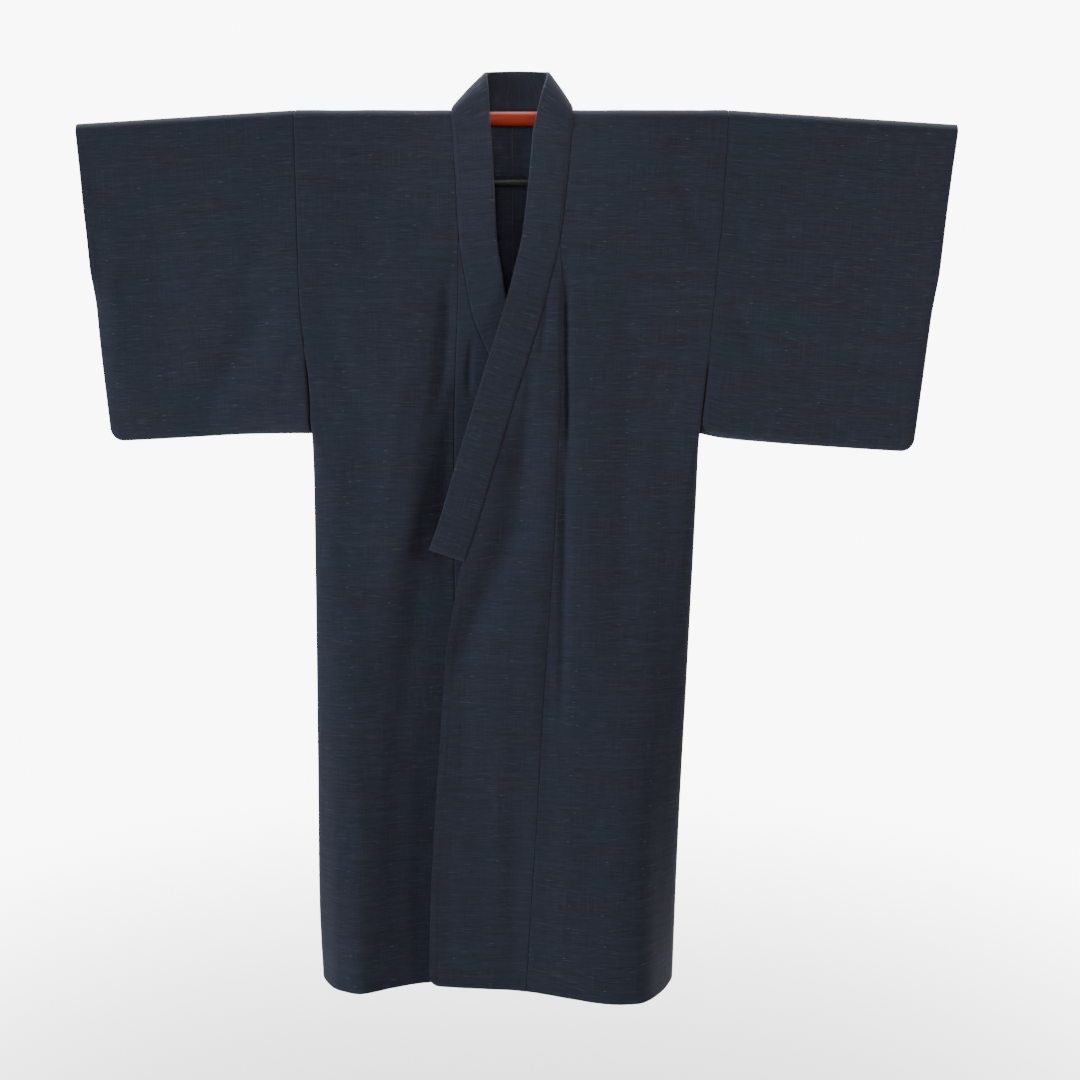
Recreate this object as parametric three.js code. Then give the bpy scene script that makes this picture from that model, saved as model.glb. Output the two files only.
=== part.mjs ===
// A men's kimono of dark slub cotton, hung by its shoulders and sleeves on a plain two-bar hanger.
// Millimetres. X runs to the viewer's right, -Y towards the viewer and Z up.
// The origin is the middle of the hanger's rod. Left and right in names are the wearer's,
// so the right front, which lies underneath, is on the viewer's left.

import * as THREE from 'three';

// The hanger: a rod, an arm drawn out of each of its ends that drops a little inside the sleeve,
// and a thinner bar linked below it.
const ROD_RADIUS = 10.5;
const ROD_REACH = 622;
const ROD_SIDES = 24;
const ROD_BEVEL = 2;
const ARM_START = 334;
const ARM_DROP = 0.061;
const BAR_RADIUS = 6.5;
const BAR_REACH = 210;
const BAR_HEIGHT = -93.8;
const LINK_RADIUS = 3;
const LINK_PLACE = 150;

// The cut, in the tailor's measures of such a garment.
const CLOTH = 1.3;
const SEAM_GAP = 0.3;
const COLLAR_WIDTH = 57;
const COLLAR_THICKNESS = 3;
const COVER_THICKNESS = 1;
const COVER_END = -178;
const COVER_SETBACK = 3;
const COVER_GAP = 0.35;
const NECK_HALF_WIDTH = 92;
const HEM_HEIGHT = -1384;
const HEM_SIDE_RISE = 8;
const OVERLAP_RISE = 5; // the overlap panel's hem climbs this much towards its front edge
const OVERLAP_CORNER = 12;
const ARMHOLE_END = -395;
const ARMHOLE_BLEND = 35;
const FRONT_POINT = -178; // where the overlap panel's tip meets the collar
const COLLAR_END = -680;
const SLEEVE_LENGTH = 481;
const CUFF_END = -285;
const CUFF_BLEND = 70;
const SLEEVE_CORNER = 20;
const FREE_SLEEVE_GAP = 2.6;

// How the cloth lies.
const SHOULDER_RADIUS = 12.6; // outside of the cloth where it bends over the rod
const NECK_EDGE_DEPTH = 12; // how far behind and above the rod the back neck edge lies
const SIDE_ROUND = 28;
const SLEEVE_ROUND = 24;
const COLLAR_CROWN = 1.2;
const COLLAR_CURL = 3;
const ROLL_START = -20; // the collar's rows are closer together above this height
const SLOPE_STEP = 8;
const SWELL_START = -450;
const SWELL_POWER = 1.6;
const LAP_FADE = { from: 80, to: 290 };

// Heights of the rows of points that all the panels share, so that edges match along each seam.
const PANEL_HEIGHTS = [
  0, -28, -60, -95, -135, -178, -188, -215, -250, -285, -320, -360, -378, -395, -430, -480, -530, -580,
  -630, -680, -760, -860, -960, -1060, -1150, -1230, -1300, -1345, -1384,
];
const SLEEVE_HEIGHTS = [0, -60, -135, -178, -215, -250, -285, -320, -360, -378, -395, -430, -457, -472, -481];
const OVER_ROD = [30, 60, 90, 120, 150]; // degrees round the rod from front to back
const EDGE_STEPS = [0, 4, 12, 24]; // distances of the first points from a rounded edge
const PANEL_SPANS = 6;
const BACK_NECK_SPANS = 3;
const OVERLAP_SPANS = 6;
const SLEEVE_SPANS = 6;
const COLLAR_SPANS = 3;

// Outlines seen from the front: distance from the middle for each height, on the two sides.
const SIDE_LINE = [
  { z: 13, left: 331.5, right: -333 },
  { z: -154, left: 322, right: -330.5 },
  { z: -275, left: 311.7, right: -328.4 },
  { z: -351, left: 306, right: -323 },
  { z: -399, left: 301.5, right: -319 },
  { z: -480, left: 293.5, right: -316 },
  { z: -585, left: 290, right: -315 },
  { z: -826, left: 281, right: -316.5 },
  { z: -1073, left: 271, right: -319 },
  { z: -1254, left: 265.4, right: -320.5 },
  { z: -1384, left: 262, right: -317 },
];
const COLLAR_LINE = [
  { z: 13, left: 92, right: -92 },
  { z: 0, left: 91.6, right: -91.6 },
  { z: -95, left: 83.5, right: -86 },
  { z: -178, left: 73.4, right: -81.8 },
  { z: -240, left: 59.5, right: -73 },
  { z: -300, left: 43.8, right: -61 },
  { z: -356, left: 26.2, right: -38.2 },
  { z: -430, left: 2.2, right: -14 },
  { z: -530, left: -28.6, right: 12 },
  { z: -630, left: -59, right: 36 },
  { z: -680, left: -76.5, right: 47 },
];
const OVERLAP_SEAM = [
  { z: -178, left: 73.4, right: -81.8 },
  { z: -194, left: 75.2, right: -82.8 },
  { z: -270, left: 78.2, right: -84.5 },
  { z: -433, left: 73.8, right: -91.5 },
  { z: -631, left: 66.3, right: -93.4 },
  { z: -782, left: 56.9, right: -94 },
  { z: -935, left: 46.8, right: -94.5 },
  { z: -1092, left: 38.5, right: -95 },
  { z: -1251, left: 28.3, right: -95.5 },
  { z: -1384, left: 20.8, right: -96 },
];
const FRONT_EDGE = [
  { z: -680, left: -81, right: 49 },
  { z: -754, left: -94, right: 52 },
  { z: -832, left: -106, right: 54 },
  { z: -935, left: -114, right: 56 },
  { z: -1038, left: -121.7, right: 57 },
  { z: -1144, left: -129, right: 57.5 },
  { z: -1251, left: -135, right: 58 },
  { z: -1384, left: -138, right: 58 },
];
const CUFF_LINE = [
  { z: -8, left: 682, right: -667 },
  { z: -115, left: 670.6, right: -659.5 },
  { z: -234, left: 660, right: -651.4 },
  { z: -347, left: 648.5, right: -645 },
  { z: -461, left: 637, right: -636 },
  { z: -510, left: 632, right: -632 },
];
const SLEEVE_HEM = [
  { share: 0, left: -481, right: -481 },
  { share: 0.1, left: -488, right: -481 },
  { share: 0.35, left: -496, right: -482.5 },
  { share: 0.6, left: -502, right: -487 },
  { share: 0.9, left: -508.5, right: -492 },
  { share: 1, left: -510, right: -493 },
];

// How far the outside of each layer stands from the rod's middle plane, and how far the top front
// stands clear of the one beneath it.
const HANG = [
  { z: 0, front: 12.6, back: 12.6, lap: 0, sleeve: 12.6 },
  { z: -60, front: 15, back: 14, lap: 0, sleeve: 13.4 },
  { z: -150, front: 18, back: 15.5, lap: 0, sleeve: 13.6 },
  { z: -240, front: 20, back: 16.5, lap: 5.5, sleeve: 13.2 },
  { z: -300, front: 21, back: 17, lap: 8.5, sleeve: 12.6 },
  { z: -430, front: 23, back: 18, lap: 11, sleeve: 11.5 },
  { z: -600, front: 25, back: 19, lap: 13, sleeve: 11 },
  { z: -1000, front: 28, back: 21, lap: 11, sleeve: 11 },
  { z: -1384, front: 30, back: 22, lap: 10, sleeve: 11 },
];

// How far the hem waves forwards or backwards from that, across each layer.
const HEM_SWELL = {
  left: [
    { x: -140, rise: 0 },
    { x: -45, rise: 3 },
    { x: 20, rise: 9 },
    { x: 87, rise: 32 },
    { x: 130, rise: 49 },
    { x: 169, rise: 58 },
    { x: 200, rise: 55 },
    { x: 219, rise: 40 },
    { x: 245, rise: 10 },
    { x: 264, rise: -4 },
  ],
  right: [
    { x: -320, rise: -5 },
    { x: -308, rise: -2 },
    { x: -280, rise: 16 },
    { x: -247, rise: 27 },
    { x: -200, rise: 10 },
    { x: -155, rise: -4 },
    { x: -90, rise: -8 },
    { x: 60, rise: -4 },
  ],
  back: [
    { x: -320, rise: 0 },
    { x: -235, rise: 13 },
    { x: -150, rise: -5 },
    { x: -60, rise: 10 },
    { x: 30, rise: -3 },
    { x: 115, rise: 14 },
    { x: 195, rise: -5 },
    { x: 264, rise: 0 },
  ],
};

// Soft hanging folds: troughs (or, where negative, ridges) that start at x and lean as they fall.
const FOLDS = {
  left: [
    { x: 95, lean: 0.056, top: -320, bottom: -1120, depth: 7, width: 18 },
    { x: 190, lean: 0.03, top: -210, bottom: -980, depth: 4.5, width: 26 },
    { x: 236, lean: 0.02, top: -620, bottom: -1900, depth: -5, width: 24 },
  ],
  right: [
    { x: -94, lean: 0.1, top: -90, bottom: -1050, depth: 7, width: 20 },
    { x: -226, lean: 0.02, top: -250, bottom: -1150, depth: 5, width: 26 },
  ],
  back: [
    { x: -212, lean: -0.02, top: -90, bottom: -1250, depth: 6, width: 26 },
    { x: -104, lean: 0.03, top: -180, bottom: -1900, depth: 5, width: 22 },
    { x: 92, lean: 0.02, top: -110, bottom: -1100, depth: 6, width: 24 },
    { x: 214, lean: 0.03, top: -260, bottom: -1900, depth: 5, width: 22 },
  ],
};

// The collar's roll over the neck, from the middle of the back to the front of the rod:
// a is the sewn edge and b the free one.
const NECK_ROLL = {
  left: [
    { ax: 61, ay: 11.6, az: 12.8, bx: 34, by: 16, bz: 69.5 },
    { ax: 80, ay: 9.2, az: 13.2, bx: 47, by: 14, bz: 70 },
    { ax: 88.6, ay: 6, az: 13.6, bx: 52, by: 8.5, bz: 69.6 },
    { ax: 89.4, ay: 0, az: 14.4, bx: 54.5, by: 1, bz: 67.4 },
    { ax: 89.8, ay: -7, az: 12.4, bx: 54, by: -7, bz: 61.5 },
    { ax: 90.6, ay: -12, az: 7.2, bx: 50, by: -13, bz: 48 },
    { ax: 91.2, ay: -14, az: 0, bx: 44.5, by: -16.5, bz: 29 },
    { ax: 91, ay: -14.2, az: -13, bx: 38.5, by: -17.5, bz: 3 },
  ],
  right: [
    { ax: -61, ay: 11.6, az: 12.8, bx: -22, by: 16, bz: 69.5 },
    { ax: -80, ay: 9.2, az: 13.2, bx: -32.5, by: 14, bz: 70 },
    { ax: -88.6, ay: 6, az: 13.6, bx: -37.5, by: 8.5, bz: 69.6 },
    { ax: -89.4, ay: 0, az: 14.4, bx: -40, by: 1, bz: 67.4 },
    { ax: -89.8, ay: -7, az: 12.4, bx: -39.5, by: -7, bz: 61.5 },
    { ax: -90.6, ay: -12, az: 7.2, bx: -37.5, by: -13, bz: 48 },
    { ax: -91.2, ay: -14, az: 0, bx: -36, by: -16.5, bz: 29 },
    { ax: -91, ay: -14.2, az: -13, bx: -35, by: -17.5, bz: 3 },
  ],
};
const BACK_COLLAR = { a: [0, 11.6, 12.8], b: [0, 16.5, 69] };

// How the cover turns round the collar's free edge, in shares of its height above the middle.
const COVER_TURN = [
  { out: 0.75, up: 0.7 },
  { out: 1.05, up: 0 },
  { out: 0.75, up: -0.7 },
];

const SIGN = { left: 1, right: -1 };
const { clamp, degToRad, lerp, smoothstep } = THREE.MathUtils;

// A smooth curve through one column of a table, read at any value of another column.
function follow(rows, input, output) {
  const sorted = [...rows].sort((one, other) => one[input] - other[input]);
  const slopes = sorted.map((row, i) => {
    const before = sorted[Math.max(i - 1, 0)];
    const after = sorted[Math.min(i + 1, sorted.length - 1)];
    return (after[output] - before[output]) / (after[input] - before[input]);
  });
  return (value) => {
    let i = 0;
    while (i < sorted.length - 2 && value > sorted[i + 1][input]) i += 1;
    const span = sorted[i + 1][input] - sorted[i][input];
    const t = clamp((value - sorted[i][input]) / span, 0, 1);
    const ease = t * t * (3 - 2 * t);
    const bend = span * t * (1 - t);
    const along = lerp(sorted[i][output], sorted[i + 1][output], ease);
    return along + bend * ((1 - t) * slopes[i] - t * slopes[i + 1]);
  };
}

function bothSides(rows, input) {
  return { left: follow(rows, input, 'left'), right: follow(rows, input, 'right') };
}

const sideLine = bothSides(SIDE_LINE, 'z');
const collarLine = bothSides(COLLAR_LINE, 'z');
const overlapSeam = bothSides(OVERLAP_SEAM, 'z');
const frontEdge = bothSides(FRONT_EDGE, 'z');
const cuffLine = bothSides(CUFF_LINE, 'z');
const sleeveHem = bothSides(SLEEVE_HEM, 'share');
const hangFront = follow(HANG, 'z', 'front');
const hangBack = follow(HANG, 'z', 'back');
const hangLap = follow(HANG, 'z', 'lap');
const hangSleeve = follow(HANG, 'z', 'sleeve');
const hemSwell = {
  left: follow(HEM_SWELL.left, 'x', 'rise'),
  right: follow(HEM_SWELL.right, 'x', 'rise'),
  back: follow(HEM_SWELL.back, 'x', 'rise'),
};

// How deep all the folds of a layer together are at a point.
function foldDepth(layer, x, z) {
  let depth = 0;
  for (const fold of FOLDS[layer]) {
    const middle = fold.x - fold.lean * (fold.top - z);
    const across = Math.exp(-(((x - middle) / fold.width) ** 2));
    const third = (fold.top - fold.bottom) / 3;
    const begins = smoothstep(fold.top - z, 0, third);
    const ends = smoothstep(z - fold.bottom, 0, third);
    depth += fold.depth * across * begins * ends;
  }
  return depth;
}

// Where the outside of a layer lies: in front of the rod's plane for the fronts, behind it for the back.
function frontDepth(side, x, z) {
  const swell = hemSwell[side](x) * clamp((SWELL_START - z) / (SWELL_START - HEM_HEIGHT), 0, 1) ** SWELL_POWER;
  const lapShare = side === 'left' ? 1 - smoothstep(x, LAP_FADE.from, LAP_FADE.to) : 0;
  return hangFront(z) + Math.max(hangLap(z), 0) * lapShare + swell - foldDepth(side, x, z);
}

function backDepth(x, z) {
  const swell = hemSwell.back(x) * clamp((SWELL_START - z) / (SWELL_START - HEM_HEIGHT), 0, 1) ** SWELL_POWER;
  return hangBack(z) + swell - foldDepth('back', x, z);
}

// 1 where two layers are sewn together at an edge, 0 where the edge is open.
function armholeClosing(z) {
  return smoothstep(ARMHOLE_END + ARMHOLE_BLEND - z, 0, ARMHOLE_BLEND);
}

function cuffClosing(z) {
  return smoothstep(CUFF_END + CUFF_BLEND - z, 0, CUFF_BLEND);
}

// The share of its full depth that a layer keeps at a distance from such an edge.
function rounding(distance, radius, closing) {
  const near = clamp(distance / radius, 0, 1);
  const full = Math.sqrt(1 - (1 - near) ** 2);
  return 1 - closing * (1 - full);
}

// A sheet of cloth, as four-sided faces. Points that fall together are one point.
class Sheet {
  constructor() {
    this.points = [];
    this.quads = [];
    this.places = new Map();
  }

  point(place) {
    const key = place.map((value) => Math.round(value * 100)).join(' ');
    if (!this.places.has(key)) {
      this.places.set(key, this.points.length);
      this.points.push(new THREE.Vector3(...place));
    }
    return this.places.get(key);
  }

  // Rows of points, each a list of [x, y, z], with null where there is no cloth.
  // Columns from mirrored onwards are split along their other diagonal.
  addRows(rows, mirrored = Infinity) {
    const indices = rows.map((row) => row.map((place) => (place ? this.point(place) : -1)));
    for (let i = 0; i + 1 < indices.length; i += 1) {
      for (let j = 0; j + 1 < indices[i].length; j += 1) {
        const corners = [indices[i][j], indices[i][j + 1], indices[i + 1][j + 1], indices[i + 1][j]];
        if (corners.some((corner) => corner < 0)) continue;
        if (j >= mirrored) corners.push(corners.shift());
        const distinct = corners.filter((corner, k) => corner !== corners[(k + 3) % 4]);
        if (new Set(distinct).size === distinct.length && distinct.length > 2) this.quads.push(distinct);
      }
    }
    return indices;
  }

  // The faces as triangles. No triangle lies on another face, where two layers meet at an edge.
  triangles() {
    const tripleKey = (corners) => [...corners].sort((a, b) => a - b).join(' ');
    const uses = new Map();
    for (const quad of this.quads) {
      for (let skip = 0; skip < quad.length; skip += 1) {
        const triple = quad.length === 4 ? quad.filter((corner, k) => k !== skip) : quad;
        uses.set(tripleKey(triple), (uses.get(tripleKey(triple)) ?? 0) + 1);
        if (quad.length === 3) break;
      }
    }
    const triangles = [];
    for (const quad of this.quads) {
      if (quad.length === 3) {
        triangles.push(quad);
        continue;
      }
      const [a, b, c, d] = quad;
      const first = [[a, b, c], [a, c, d]];
      const other = [[a, b, d], [b, c, d]];
      const doubled = first.some((triangle) => uses.get(tripleKey(triangle)) > 1);
      triangles.push(...(doubled ? other : first));
    }
    return triangles;
  }
}

// The way out of a sheet at each point, and how far to go for one millimetre of wall there.
function outwardsFrom(sheet, triangles) {
  const faceNormals = triangles.map(([a, b, c]) => {
    const first = sheet.points[b].clone().sub(sheet.points[a]);
    return first.cross(sheet.points[c].clone().sub(sheet.points[a])).normalize();
  });
  const normals = sheet.points.map(() => new THREE.Vector3());
  triangles.forEach((corners, i) => {
    corners.forEach((corner, k) => {
      const to = sheet.points[corners[(k + 1) % 3]].clone().sub(sheet.points[corner]);
      const from = sheet.points[corners[(k + 2) % 3]].clone().sub(sheet.points[corner]);
      normals[corner].addScaledVector(faceNormals[i], to.angleTo(from));
    });
  });
  normals.forEach((normal) => normal.normalize());
  const slant = sheet.points.map(() => ({ sum: 0, count: 0 }));
  triangles.forEach((corners, i) => {
    for (const corner of corners) {
      slant[corner].sum += normals[corner].dot(faceNormals[i]);
      slant[corner].count += 1;
    }
  });
  return normals.map((normal, i) => normal.divideScalar(clamp(slant[i].sum / slant[i].count, 0.55, 1)));
}

// Thickens a sheet into one closed wall, outwards and inwards from its points.
function wallFrom(sheet, outwards, inwards, turned = false) {
  let triangles = sheet.triangles();
  if (turned) triangles = triangles.map(([a, b, c]) => [a, c, b]);
  const ways = outwardsFrom(sheet, triangles);
  const positions = [];
  for (const offset of [outwards, -inwards]) {
    sheet.points.forEach((point, i) => {
      const moved = point.clone().addScaledVector(ways[i], offset);
      positions.push(moved.x, moved.y, moved.z);
    });
  }
  const count = sheet.points.length;
  const index = [];
  const edges = new Set();
  for (const [a, b, c] of triangles) {
    index.push(a, b, c, a + count, c + count, b + count);
    for (const [from, to] of [[a, b], [b, c], [c, a]]) edges.add(`${from} ${to}`);
  }
  for (const edge of edges) {
    const [from, to] = edge.split(' ').map(Number);
    if (edges.has(`${to} ${from}`)) continue;
    index.push(to, from, from + count, to, from + count, to + count);
  }
  const geometry = new THREE.BufferGeometry();
  geometry.setAttribute('position', new THREE.Float32BufferAttribute(positions, 3));
  geometry.setIndex(index);
  geometry.computeVertexNormals();
  return geometry;
}

// Distances from the first edge for the columns of a panel: close together at rounded edges.
function columnDistances(width, spans, roundedEnd) {
  const start = EDGE_STEPS;
  const end = roundedEnd ? EDGE_STEPS.map((step) => width - step).reverse() : [width];
  const from = start[start.length - 1];
  const to = end[0];
  const between = [];
  for (let i = 1; i < spans; i += 1) between.push(lerp(from, to, i / spans));
  return [...start, ...between, ...end];
}

function hemRise(distance) {
  return HEM_SIDE_RISE * (1 - clamp(distance / SLEEVE_ROUND, 0, 1)) ** 2;
}

// One body panel: front and back in one length over the shoulder, joined to itself down the side.
function bodyPanel(side) {
  const sign = SIGN[side];
  const neck = sign * NECK_HALF_WIDTH;

  // From the side or armhole edge inwards.
  const row = (inner, z, layer) => {
    const outer = sideLine[side](z);
    const middle = (backDepth(outer, z) - frontDepth(side, outer, z)) / 2;
    return columnDistances(Math.abs(outer - inner), PANEL_SPANS, false).map((distance) => {
      const x = outer - sign * distance;
      const y = layer === 'back' ? backDepth(x, z) : -frontDepth(side, x, z);
      const kept = rounding(distance, SIDE_ROUND, armholeClosing(z));
      return [x, lerp(middle, y, kept), z === HEM_HEIGHT ? z + hemRise(distance) : z];
    });
  };

  // The rest of the back, between the neck point and the seam down its middle.
  const pastNeck = (place) => {
    const places = [];
    for (let i = 1; i <= BACK_NECK_SPANS; i += 1) {
      places.push(place(sign * lerp(NECK_HALF_WIDTH, SEAM_GAP / 2, i / BACK_NECK_SPANS)));
    }
    return places;
  };

  const noCloth = Array(BACK_NECK_SPANS).fill(null);
  const innerEdge = (z) => {
    if (z === 0) return neck;
    const line = z >= FRONT_POINT ? collarLine : overlapSeam;
    return line[side](z) + (sign * SEAM_GAP) / 2;
  };
  const front = [...PANEL_HEIGHTS].reverse().map((z) => [...row(innerEdge(z), z, 'front'), ...noCloth]);
  const over = OVER_ROD.map((degrees) => {
    const y = -SHOULDER_RADIUS * Math.cos(degToRad(degrees));
    const z = SHOULDER_RADIUS * Math.sin(degToRad(degrees));
    const shoulder = row(neck, 0, 'front').map(([x]) => [x, y, z]);
    if (degrees <= 90) return [...shoulder, ...noCloth];
    const level = degrees === OVER_ROD[3] ? NECK_EDGE_DEPTH : z;
    return [...shoulder, ...pastNeck((x) => [x, NECK_EDGE_DEPTH, level])];
  });
  const back = PANEL_HEIGHTS.map((z) => [
    ...row(neck, z, 'back'),
    ...pastNeck((x) => [x, backDepth(x, z), z]),
  ]);

  const sheet = new Sheet();
  sheet.addRows([...front, ...over, ...back]);
  return wallFrom(sheet, 0, CLOTH, side === 'left');
}

// The overlap panel between a body panel and the front edge, cut slanting along the collar.
function overlapPanel(side) {
  const sign = SIGN[side];
  const rows = PANEL_HEIGHTS.filter((z) => z < FRONT_POINT).map((z) => {
    const outer = overlapSeam[side](z) - (sign * SEAM_GAP) / 2;
    const free = z < COLLAR_END ? frontEdge[side](z) : collarLine[side](z) + sign * (SEAM_GAP + 0.1);
    const places = [];
    for (let i = 0; i <= OVERLAP_SPANS; i += 1) {
      const x = lerp(outer, free, i / OVERLAP_SPANS);
      const cornerCut = i === OVERLAP_SPANS ? OVERLAP_CORNER : 0;
      const raised = z === HEM_HEIGHT ? (OVERLAP_RISE * i) / OVERLAP_SPANS + cornerCut : 0;
      places.push([x, -frontDepth(side, x, z), z + raised]);
    }
    return places;
  });
  const sheet = new Sheet();
  sheet.addRows(rows);
  return wallFrom(sheet, 0, CLOTH, side === 'right');
}

// A sleeve: one length folded over the arm, sewn along the bottom, below the cuff and below the armhole.
function sleeve(side) {
  const sign = SIGN[side];

  const place = (distance, width, level, layer) => {
    const share = distance / width;
    const out = ARM_DROP * distance;
    const corner = Math.max(SLEEVE_CORNER - (width - distance), 0);
    const lift = SLEEVE_CORNER - Math.sqrt(SLEEVE_CORNER ** 2 - corner ** 2);
    const z = lerp(-out, sleeveHem[side](share) + lift, -level / SLEEVE_LENGTH);
    const free = FREE_SLEEVE_GAP * armholeClosing(level);
    const inner = sideLine[side](level) + sign * (SEAM_GAP + free);
    const outer = cuffLine[side](z);
    const x = lerp(inner, outer, share);
    const seam = sideLine[side](level);
    const blend = smoothstep(share, 0, 0.6);
    const front = lerp(frontDepth(side, seam, level), hangSleeve(level), blend);
    const back = lerp(backDepth(seam, level), hangSleeve(level), blend);
    const middle = (back - front) / 2;
    const fromHem = ((SLEEVE_LENGTH + level) / SLEEVE_LENGTH) * (SLEEVE_LENGTH - out);
    const kept =
      rounding(distance, SLEEVE_ROUND, armholeClosing(level)) *
      rounding(width - distance, SLEEVE_ROUND, cuffClosing(level)) *
      rounding(fromHem, SLEEVE_ROUND, 1);
    return [x, lerp(middle, layer === 'back' ? back : -front, kept), z];
  };

  const width = Math.abs(cuffLine[side](0) - sideLine[side](0));
  const distances = columnDistances(width, SLEEVE_SPANS, true);
  const row = (level, layer) => distances.map((distance) => place(distance, width, level, layer));
  const front = [...SLEEVE_HEIGHTS].reverse().map((level) => row(level, 'front'));
  const over = OVER_ROD.map((degrees) => {
    const angle = degToRad(degrees);
    return row(0, 'front').map(([x, , z]) => [
      x,
      -SHOULDER_RADIUS * Math.cos(angle),
      z + SHOULDER_RADIUS * Math.sin(angle),
    ]);
  });
  const back = SLEEVE_HEIGHTS.map((level) => row(level, 'back'));
  const sheet = new Sheet();
  sheet.addRows([...front, ...over, ...back]);
  return wallFrom(sheet, 0, CLOTH, side === 'right');
}

// The lines across the collar, from the sewn edge a to the free edge b, end to end round the neck.
function collarLines() {
  const lines = { left: [], right: [] };
  for (const side of ['left', 'right']) {
    const sign = SIGN[side];
    for (const row of NECK_ROLL[side]) {
      lines[side].push({
        a: new THREE.Vector3(row.ax, row.ay, row.az),
        b: new THREE.Vector3(row.bx, row.by, row.bz),
      });
    }
    for (const z of PANEL_HEIGHTS.filter((height) => height < 0 && height >= COLLAR_END)) {
      const line = collarLine[side];
      const turn = Math.atan((line(z + SLOPE_STEP) - line(z - SLOPE_STEP)) / (2 * SLOPE_STEP));
      const ax = line(z) - (sign * SEAM_GAP) / 2;
      const bx = ax - sign * COLLAR_WIDTH * Math.cos(turn);
      const bz = z + sign * COLLAR_WIDTH * Math.sin(turn);
      lines[side].push({
        a: new THREE.Vector3(ax, CLOTH / 2 - frontDepth(side, ax, z), z),
        b: new THREE.Vector3(bx, CLOTH / 2 - frontDepth(side, bx, bz) - COLLAR_CURL, bz),
      });
    }
  }
  const back = { a: new THREE.Vector3(...BACK_COLLAR.a), b: new THREE.Vector3(...BACK_COLLAR.b) };
  const keys = [...lines.left.reverse(), back, ...lines.right];
  const sewn = new THREE.CatmullRomCurve3(keys.map((key) => key.a));
  const free = new THREE.CatmullRomCurve3(keys.map((key) => key.b));
  const all = [];
  keys.forEach((key, i) => {
    all.push(key);
    if (i + 1 === keys.length || Math.min(key.a.z, keys[i + 1].a.z) < ROLL_START) return;
    const between = (i + 0.5) / (keys.length - 1);
    all.push({ a: sewn.getPoint(between), b: free.getPoint(between) });
  });
  return all;
}

// The collar's middle surface: a row of points for each line across it, slightly crowned.
function collarRows() {
  const lines = collarLines();
  return lines.map(({ a, b }, i) => {
    const before = lines[Math.max(i - 1, 0)];
    const after = lines[Math.min(i + 1, lines.length - 1)];
    const along = after.a.clone().add(after.b).sub(before.a).sub(before.b);
    const outwards = along.cross(b.clone().sub(a)).normalize();
    const places = [];
    for (let k = 0; k <= COLLAR_SPANS; k += 1) {
      const share = k / COLLAR_SPANS;
      const crown = COLLAR_CROWN * Math.sin(Math.PI * share);
      places.push(a.clone().lerp(b, share).addScaledVector(outwards, crown).toArray());
    }
    return places;
  });
}

// The collar: one long folded band, sewn to the neck and down both fronts.
function collar() {
  const sheet = new Sheet();
  sheet.addRows(collarRows());
  return wallFrom(sheet, COLLAR_THICKNESS / 2, COLLAR_THICKNESS / 2);
}

// The cover over the neck part of the collar, wrapped round its free edge on to both faces.
function collarCover() {
  const band = new Sheet();
  const indices = band.addRows(collarRows());
  const ways = outwardsFrom(band, band.triangles());
  const height = COLLAR_THICKNESS / 2 + COVER_GAP + COVER_THICKNESS / 2;
  const setback = (COLLAR_SPANS * COVER_SETBACK) / COLLAR_WIDTH;
  const rows = [];
  for (const row of indices) {
    if (band.points[row[0]].z < COVER_END) continue;
    const points = row.map((index) => band.points[index].clone());
    const raised = row.map((index) => ways[index].clone().multiplyScalar(height));
    points[0].lerp(points[1], setback);
    raised[0].lerp(raised[1], setback);
    const beyond = points[COLLAR_SPANS].clone().sub(points[COLLAR_SPANS - 1]).setLength(height);
    const face = (sign) => points.map((point, k) => point.clone().addScaledVector(raised[k], sign));
    const turn = COVER_TURN.map(({ out, up }) =>
      points[COLLAR_SPANS].clone().addScaledVector(beyond, out).addScaledVector(raised[COLLAR_SPANS], up),
    );
    rows.push([...face(1), ...turn, ...face(-1).reverse()].map((point) => point.toArray()));
  }
  const sheet = new Sheet();
  sheet.addRows(rows, COLLAR_SPANS + COVER_TURN.length + 1);
  return wallFrom(sheet, COVER_THICKNESS / 2, COVER_THICKNESS / 2);
}

// A round rod along X whose ends are cut upright. Each station has a place, a radius and a drop.
function roundRod(stations) {
  const positions = [];
  const index = [];
  for (const { x, radius, drop } of stations) {
    for (let i = 0; i < ROD_SIDES; i += 1) {
      const angle = (2 * Math.PI * i) / ROD_SIDES;
      positions.push(x, radius * Math.cos(angle), radius * Math.sin(angle) - drop);
    }
  }
  for (let s = 0; s + 1 < stations.length; s += 1) {
    for (let i = 0; i < ROD_SIDES; i += 1) {
      const next = (i + 1) % ROD_SIDES;
      const [a, b] = [s * ROD_SIDES + i, s * ROD_SIDES + next];
      index.push(a, b, b + ROD_SIDES, a, b + ROD_SIDES, a + ROD_SIDES);
    }
  }
  const last = (stations.length - 1) * ROD_SIDES;
  for (let i = 1; i + 1 < ROD_SIDES; i += 1) {
    index.push(0, i + 1, i, last, last + i, last + i + 1);
  }
  const geometry = new THREE.BufferGeometry();
  geometry.setAttribute('position', new THREE.Float32BufferAttribute(positions, 3));
  geometry.setIndex(index);
  geometry.computeVertexNormals();
  return geometry;
}

// The level rod between the shoulders.
function rod() {
  return roundRod([
    { x: -ARM_START, radius: ROD_RADIUS, drop: 0 },
    { x: ARM_START, radius: ROD_RADIUS, drop: 0 },
  ]);
}

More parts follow.
